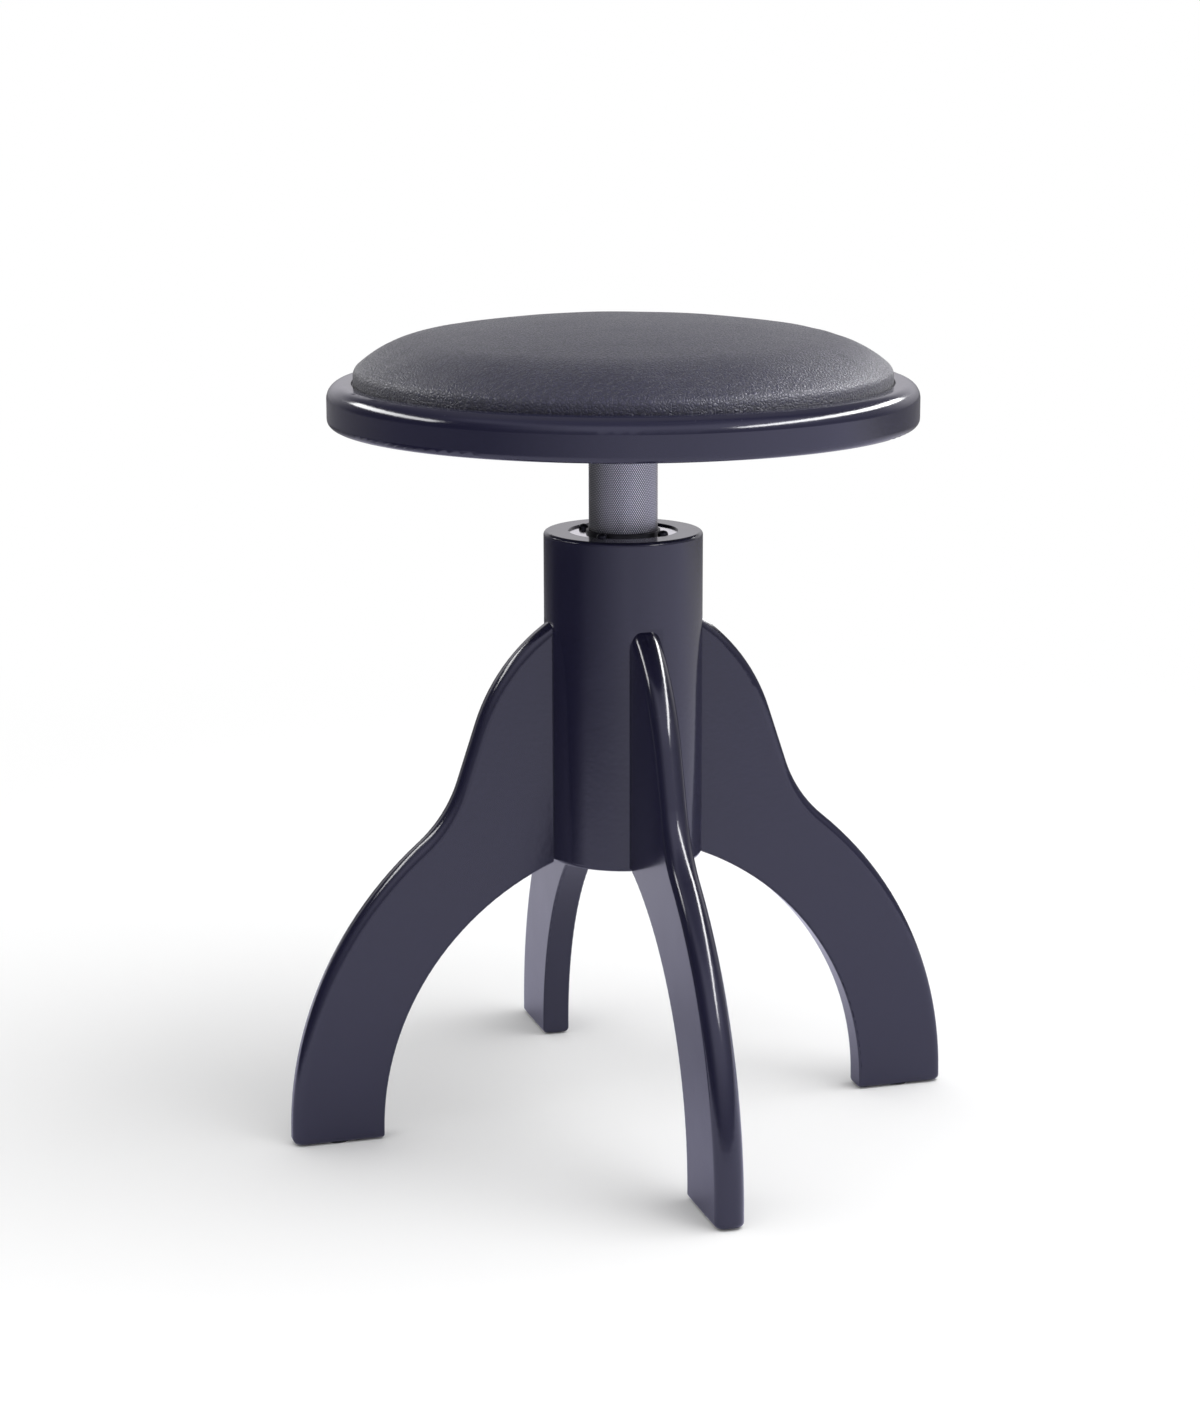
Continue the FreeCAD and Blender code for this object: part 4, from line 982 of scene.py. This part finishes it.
class STOOL_OT_screws(bpy.types.Operator):
    """Makes every screw with its head's recess"""

    bl_idname = "stool.screws"
    bl_label = "Screws"

    SHARP_DEGREES = 35
    SLOTS = {"Black screw": "black_screw", "Zinc steel": "zinc_steel"}
    SIZES = (
        "Count", "Circle_radius", "First_angle", "Level", "Tilt", "Head_radius", "Shank_radius", "Head_rise",
        "Length", "Recess_width", "Recess_depth",
    )
    # Each set's kind, finish, body and sizes
    SETS = {
        "ring_screws": ("Raised screws", "Black screw", "base", (
            4, 0.0275, math.pi / 4, 0.3743, 0.0, 0.0032, 0.00175, 0.0030, 0.022, 0.0034, 0.0013)),
        "base_screws": ("Countersunk screws", "Zinc steel", "base", (
            4, 0.0305, math.pi / 4, 0.171, math.pi, 0.004, 0.002, 0.0, 0.026, 0.0044, 0.0017)),
        "plate_screws": ("Raised screws", "Zinc steel", "seat", (
            6, 0.052, 0.0, 0.4372, math.pi, 0.0045, 0.00225, 0.0028, 0.020, 0.0050, 0.0016)),
        "cushion_screws": ("Countersunk screws", "Zinc steel", "seat", (
            4, 0.110, math.pi / 4, 0.4422, math.pi, 0.004, 0.002, 0.0, 0.0278, 0.0044, 0.0017)),
        "collar_screws": ("Grub screws", "Black screw", "seat", (
            3, 0.02575, 0.0, 0.4332, math.pi / 2, 0.0025, 0.0025, 0.0, 0.00455, 0.00145, 0.0019)),
        "spindle_screw": ("Countersunk screws", "Black screw", "base", (
            1, 0.0, 0.0, 0.171, math.pi, 0.010, 0.005, 0.0, 0.022, 0.0080, 0.0030)),
    }

    def execute(self, context):
        for label, (kind, material, body, numbers) in self.SETS.items():
            sizes = dict(zip(self.SIZES, numbers))
            piece = grow(f"{label}_turned", screw_tree(kind), Material=finish(material), **sizes)
            shade(piece.data, self.SHARP_DEGREES)
            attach(piece, body)
            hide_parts(label)
        return {"FINISHED"}


class STOOL_OT_post(bpy.types.Operator):
    """Makes the seat's tube with its diamond knurl, its clip grooves and its pin hole"""

    bl_idname = "stool.post"
    bl_label = "Knurled post"

    CHAMFER = 0.0006
    CLIP_GROOVES = ((0.2683, 0.2698), (0.2882, 0.2897))
    GROOVE_DEPTH = 0.001
    PIN_RADIUS, PIN_REACH, PIN_LEVEL = 0.00205, 0.03, 0.247
    SHARP_DEGREES = 30

    def execute(self, context):
        look = context.scene.stool_post
        low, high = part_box("post")
        radius, bore, start, end = look.radius, look.bore, look.knurl_start, look.knurl_end
        profile = [(bore, low.z), (radius - self.CHAMFER, low.z), (radius, low.z + self.CHAMFER)]
        for bottom, top in self.CLIP_GROOVES:
            groove = radius - self.GROOVE_DEPTH
            profile += [(radius, bottom), (groove, bottom), (groove, top), (radius, top)]
        profile += [
            (radius, start), (radius, end), (radius, high.z - self.CHAMFER),
            (radius - self.CHAMFER, high.z), (bore, high.z),
        ]
        mesh = revolve("post_knurled", profile, look.knurl_around * 2, closed=True)
        tube = new_object("post_knurled", mesh, "Knurled steel")
        across = [(0.0, side * self.PIN_REACH, self.PIN_LEVEL) for side in (-1, 1)]
        cut(tube, rod("pin_hole", self.PIN_RADIUS, *across))
        knurl = grow(
            "knurl", knurl_tree(), Radius=radius, Depth=look.knurl_depth, Points_round=look.knurl_around,
            Pitch=look.knurl_pitch, Start=start, End=end, Material=finish("Knurled steel"),
        )
        self.join(tube.data, knurl.data, start, end, (radius + bore) / 2)
        bpy.data.objects.remove(knurl)
        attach(tube, "seat")
        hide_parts("post")
        return {"FINISHED"}

    def join(self, plain, knurled, start, end, middle):
        """Puts the knurled skin in the place of the plain tube's outer faces between two levels."""
        shape = bmesh.new()
        shape.from_mesh(plain)
        centres = [(face, face.calc_center_median()) for face in shape.faces]
        walls = [face for face, centre in centres if start < centre.z < end and centre.xy.length > middle]
        bmesh.ops.delete(shape, geom=walls, context="FACES_ONLY")
        for face in shape.faces:
            face.smooth = True
        smooth = len(shape.faces)
        shape.from_mesh(knurled)
        shape.faces.ensure_lookup_table()
        for face in shape.faces[smooth:]:
            face.smooth = False
        bmesh.ops.remove_doubles(shape, verts=shape.verts, dist=SEAM)
        bmesh.ops.recalc_face_normals(shape, faces=shape.faces)
        shape.to_mesh(plain)
        shape.free()
        plain.set_sharp_from_angle(angle=math.radians(self.SHARP_DEGREES))


class STOOL_OT_spindle(bpy.types.Operator):
    """Makes the threaded spindle with its screw hole and its key hole"""

    bl_idname = "stool.spindle"
    bl_label = "Threaded spindle"

    CHAMFER = 0.002
    # Each hole's distance from the axis, radius and top; both start a little under the spindle
    SCREW_HOLE = (0.0, 0.00505, 0.1945)
    KEY_HOLE = (0.0085, 0.00205, 0.1842)
    UNDER = 0.001
    WELD, SLIVER = 0.00002, 0.00001
    SHARP_DEGREES = 30

    def execute(self, context):
        look = context.scene.stool_spindle
        low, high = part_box("spindle")
        piece = grow(
            "spindle_threaded", thread_tree(), Radius=look.radius, Depth=look.thread_depth,
            Pitch=look.thread_pitch, Segments=look.segments, Start=low.z, End=high.z, Chamfer=self.CHAMFER,
            Material=finish("Thread steel"),
        )
        self.close(piece.data)
        cut(piece, *[
            rod("hole", radius, (aside, 0.0, low.z - self.UNDER), (aside, 0.0, top))
            for aside, radius, top in (self.SCREW_HOLE, self.KEY_HOLE)
        ])
        shade(piece.data, self.SHARP_DEGREES)
        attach(piece, "base")
        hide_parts("spindle")
        return {"FINISHED"}

    def close(self, mesh):
        """Merges the thread's seam and turns its faces outwards."""
        shape = bmesh.new()
        shape.from_mesh(mesh)
        bmesh.ops.remove_doubles(shape, verts=shape.verts, dist=self.WELD)
        bmesh.ops.dissolve_degenerate(shape, edges=shape.edges, dist=self.SLIVER)
        bmesh.ops.recalc_face_normals(shape, faces=shape.faces)
        shape.to_mesh(mesh)
        shape.free()


class STOOL_OT_cushion(bpy.types.Operator):
    """Makes the padded cushion: the foam swells under its leather, which turns in under the board"""

    bl_idname = "stool.cushion"
    bl_label = "Padded cushion"

    SEGMENTS, PAD_SEGMENTS = 256, 96
    CROWN_RADIUS, SHOULDER_RADIUS, EDGE_RADIUS = 0.731, 0.080, 0.0074
    CROWN_STEPS, SHOULDER_STEPS, EDGE_STEPS = 44, 22, 8
    # The edge's height over the board, and how far under the edge the pad ends and is held
    EDGE_RISE, PAD_FOOT, PAD_HOLD = 0.001, 0.006, 0.003
    FRAMES = 20
    RAY_START = 0.3
    # Distance from the edge in which the waves come in, and height over it in which the gathers fade
    WAVE_RISE, GATHER_FADE = 0.030, 0.006
    # Width of the hem, half height of the side, gap between leather and foam, and foam and board
    HEM, SIDE_MIDDLE, FOAM_GAP, BOARD_GAP = 0.022, 0.0032, 0.0016, 0.0001
    CLOTH = {
        "quality": 6, "mass": 0.3, "use_pressure": True, "vertex_group_mass": "Held",
        "tension_stiffness": 25.0, "compression_stiffness": 25.0, "bending_stiffness": 2.0,
    }

    def execute(self, context):
        look = context.scene.stool_cushion
        low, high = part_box("cushion_cover")
        board_low, board_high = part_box("cushion_board")
        tuck, edge_level = high.x, board_high.z + self.EDGE_RISE
        outline = self.crown(tuck, edge_level, high.z)
        surface = self.swollen(look, outline, edge_level)
        rings = self.relaxed(look, outline, surface, tuck, edge_level)
        self.cover(look, rings, tuck, low.z, board_low.z)
        self.foam(rings, board_high)
        return {"FINISHED"}

    def crown(self, tuck, edge_level, top):
        """Side view of the dome, middle to edge: crown, shoulder and edge arcs that meet smoothly."""
        crown_centre = Vector((0.0, top - self.CROWN_RADIUS))
        edge_centre = Vector((tuck - self.EDGE_RADIUS, edge_level))
        between = edge_centre - crown_centre
        across = between.normalized()
        to_crown, to_edge = self.CROWN_RADIUS - self.SHOULDER_RADIUS, self.SHOULDER_RADIUS - self.EDGE_RADIUS
        along = (to_crown ** 2 - to_edge ** 2 + between.length_squared) / (2 * between.length)
        aside = math.sqrt(to_crown ** 2 - along ** 2)
        shoulder_centre = crown_centre + across * along + Vector((-across.y, across.x)) * aside
        high = shoulder_centre - crown_centre
        low = edge_centre - shoulder_centre
        high_angle, low_angle = math.atan2(high.y, high.x), math.atan2(low.y, low.x)
        points = []
        for centre, radius, start, end, steps in (
            (crown_centre, self.CROWN_RADIUS, math.pi / 2, high_angle, self.CROWN_STEPS),
            (shoulder_centre, self.SHOULDER_RADIUS, high_angle, low_angle, self.SHOULDER_STEPS),
            (edge_centre, self.EDGE_RADIUS, low_angle, 0.0, self.EDGE_STEPS),
        ):
            for step in range(steps):
                turn = start + (end - start) * step / steps
                points.append(centre + radius * Vector((math.cos(turn), math.sin(turn))))
        points.append(Vector((tuck, edge_level)))
        points[0].x = 0.0
        return points

    def swollen(self, look, outline, edge_level):
        """The pad's surface after it has swelled as cloth, as a tree for casting rays on."""
        floor = edge_level - self.PAD_FOOT
        profile = []
        for before, here, after in zip([outline[0]] + outline[:-1], outline, outline[1:] + [outline[-1]]):
            along = (after - before).normalized()
            inside = here + Vector((-along.y, along.x)) * look.start_inset
            profile.append((max(inside.x, 0.0), inside.y))
        profile += [(outline[-1].x - look.start_inset, floor), (0.0, floor)]
        profile[0] = (0.0, profile[0][1])
        pad = new_object("pad", revolve("pad", profile, self.PAD_SEGMENTS))
        self.swell(pad, look, edge_level - self.PAD_HOLD)
        corners = [vertex.co.copy() for vertex in pad.data.vertices]
        tree = BVHTree.FromPolygons(corners, [tuple(face.vertices) for face in pad.data.polygons])
        bpy.data.objects.remove(pad)
        return tree

    def swell(self, pad, look, held_below):
        """Swells the pad as a cloth under pressure, held at its foot."""
        grid = pad.modifiers.new("Cells", "REMESH")
        grid.mode = "VOXEL"
        grid.voxel_size = look.voxel
        pad.data = baked(pad)
        held = pad.vertex_groups.new(name="Held")
        held.add([v.index for v in pad.data.vertices if v.co.z < held_below], 1.0, "REPLACE")
        start = [v.co.copy() for v in pad.data.vertices]
        settings = pad.modifiers.new("Swell", "CLOTH").settings
        for name, value in self.CLOTH.items():
            setattr(settings, name, value)
        settings.uniform_pressure_force = look.pressure
        settings.effector_weights.gravity = 0.0
        for number in range(1, self.FRAMES + 1):
            bpy.context.scene.frame_set(number)
        mesh = baked(pad)
        bpy.context.scene.frame_set(1)
        for vertex, origin in zip(mesh.vertices, start):
            moved = vertex.co - origin
            if moved.length > look.swell_cap:
                vertex.co = origin + moved.normalized() * look.swell_cap
        pad.data = mesh

    def relaxed(self, look, outline, surface, tuck, edge_level):
        """Rings of points on the leather: the swollen pad, its soft waves, and small gathers at the edge."""
        centre = Vector((0.0, 0.0, edge_level))
        rings = []
        for number, point in enumerate(outline):
            ring, swells = [], []
            for turn in ring_turns(self.SEGMENTS if number else 1):
                outward = Vector((math.cos(turn), math.sin(turn), 0.0))
                rest = outward * point.x + Vector((0, 0, point.y))
                aim = (rest - centre).normalized()
                hit = surface.ray_cast(centre + aim * self.RAY_START, -aim)[0]
                swells.append((hit - rest).dot(aim) if hit else 0.0)
                ring.append((rest, aim, outward))
            usual = sum(swells) / len(swells)
            inward, upward = tuck - point.x, point.y - edge_level
            free = min(1.0, max(0.0, inward / self.WAVE_RISE + upward / self.WAVE_RISE))
            drawn = math.exp(-max(0.0, upward) / self.GATHER_FADE)
            for step, ((rest, aim, outward), swell) in enumerate(zip(ring, swells)):
                waves = noise(rest * 16.0) + 0.5 * noise(rest * 37.0 + Vector((3, 5, 7)))
                bulge = free * (look.swell_share * (swell - usual) + look.unevenness * waves)
                fold = noise(outward * 17.0) + 0.6 * noise(outward * 41.0)
                gather = -look.gathers * max(0.0, fold + 0.1) * drawn
                ring[step] = rest + aim * bulge + outward * gather
            rings.append(ring)
        return rings

    def ring_at(self, ring, radius=None, level=None, inset=0.0):
        """A ring like the given one at another radius or level, or drawn in towards the axis."""
        made = []
        for point in ring:
            flat = Vector((point.x, point.y, 0.0))
            reach = (radius if radius is not None else flat.length) - inset
            made.append(flat.normalized() * reach + Vector((0, 0, level if level is not None else point.z)))
        return made

    def inner(self, rings, thickness):
        """The rings moved inwards by a thickness."""
        made = [[rings[0][0] - Vector((0, 0, thickness))]]
        for before, ring, after in zip(rings, rings[1:], rings[2:] + rings[-1:]):
            moved = []
            for step, point in enumerate(ring):
                along = after[step] - before[step % len(before)]
                outward = Vector((point.x, point.y, 0.0)).normalized()
                normal = outward.cross(Vector(UP)).cross(along).normalized()
                if normal.dot(outward + Vector(UP)) < 0:
                    normal = -normal
                moved.append(point - normal * thickness)
            made.append(moved)
        return made

    def soft_piece(self, name, rings, material):
        """A smooth object of rings of points."""
        mesh = skinned(name, rings)
        shade(mesh)
        return new_object(name, mesh, material)

    def cover(self, look, rings, tuck, base, board_base):
        """The leather: dome, side and the hem under the board, with its thickness."""
        middle = base + self.SIDE_MIDDLE
        # Each ring's radius (the edge's own if none is given), level and inset, from the side round the hem
        side = (
            (None, middle, 0.0), (None, base + 0.0006, 0.0001), (tuck, base, 0.0007), (tuck, base, 0.012),
            (tuck, base, self.HEM - 0.0002), (tuck, base + 0.0002, self.HEM), (tuck, board_base, self.HEM),
            (tuck, board_base, 0.012), (tuck, board_base, look.skin + 0.0002), (None, middle, look.skin),
        )
        hem = [self.ring_at(rings[-1], *place) for place in side]
        shell = rings + hem + self.inner(rings, look.skin)[::-1]
        piece = self.soft_piece("cushion_leather", shell, "Black leather")
        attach(piece, "seat")
        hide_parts("cushion_cover")

    def foam(self, rings, board_high):
        """The foam under the leather, flat on the board."""
        level = board_high.z + self.BOARD_GAP
        body = self.inner(rings[:-1:2] + [rings[-1]], self.FOAM_GAP)
        body += [self.ring_at(body[-1], level=level), [Vector((0, 0, level))]]
        piece = self.soft_piece("cushion_padding", body, "Foam")
        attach(piece, "seat")
        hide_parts("cushion_foam")


class STOOL_PT_panel(bpy.types.Panel):
    """Lists the stool's pieces, sizes and finishes"""

    bl_label = "Piano Stool"
    bl_idname = "STOOL_PT_panel"
    bl_space_type = "VIEW_3D"
    bl_region_type = "UI"
    bl_category = "Piano Stool"

    def draw(self, context):
        for holder, (group, heading, operators) in GROUPS.items():
            box = self.layout.box()
            box.label(text=heading)
            for name in group.__annotations__:
                box.prop(getattr(context.scene, holder), name)
            for operator in operators:
                box.operator(operator)


# Each property group's name on the scene, its class, heading and operators
GROUPS = {
    "stool_finishes": (StoolFinishes, "Finishes", ("stool.woodwork", "stool.metalwork", "stool.screws")),
    "stool_post": (StoolPost, "Post", ("stool.post",)),
    "stool_spindle": (StoolSpindle, "Spindle", ("stool.spindle",)),
    "stool_cushion": (StoolCushion, "Cushion", ("stool.cushion",)),
    "stool_stage": (StoolStage, "Studio", ("stool.stage",)),
}

CLASSES = (
    *[group for group, *_ in GROUPS.values()], STOOL_OT_stage, STOOL_OT_woodwork, STOOL_OT_metalwork,
    STOOL_OT_screws, STOOL_OT_post, STOOL_OT_spindle, STOOL_OT_cushion, STOOL_PT_panel,
)


def register():
    """Registers the classes, and their properties on the scene."""
    for made in CLASSES:
        bpy.utils.register_class(made)
    for name, (group, *_) in GROUPS.items():
        setattr(bpy.types.Scene, name, PointerProperty(type=group))


def unregister():
    """Removes what register added."""
    for name in GROUPS:
        delattr(bpy.types.Scene, name)
    for made in reversed(CLASSES):
        bpy.utils.unregister_class(made)


def main():
    """Dresses the whole stool and writes both boxes."""
    register()
    bpy.ops.stool.stage()
    bpy.ops.stool.woodwork()
    bpy.ops.stool.metalwork()
    bpy.ops.stool.screws()
    bpy.ops.stool.post()
    bpy.ops.stool.spindle()
    bpy.ops.stool.cushion()


if __name__ == "__main__":
    main()
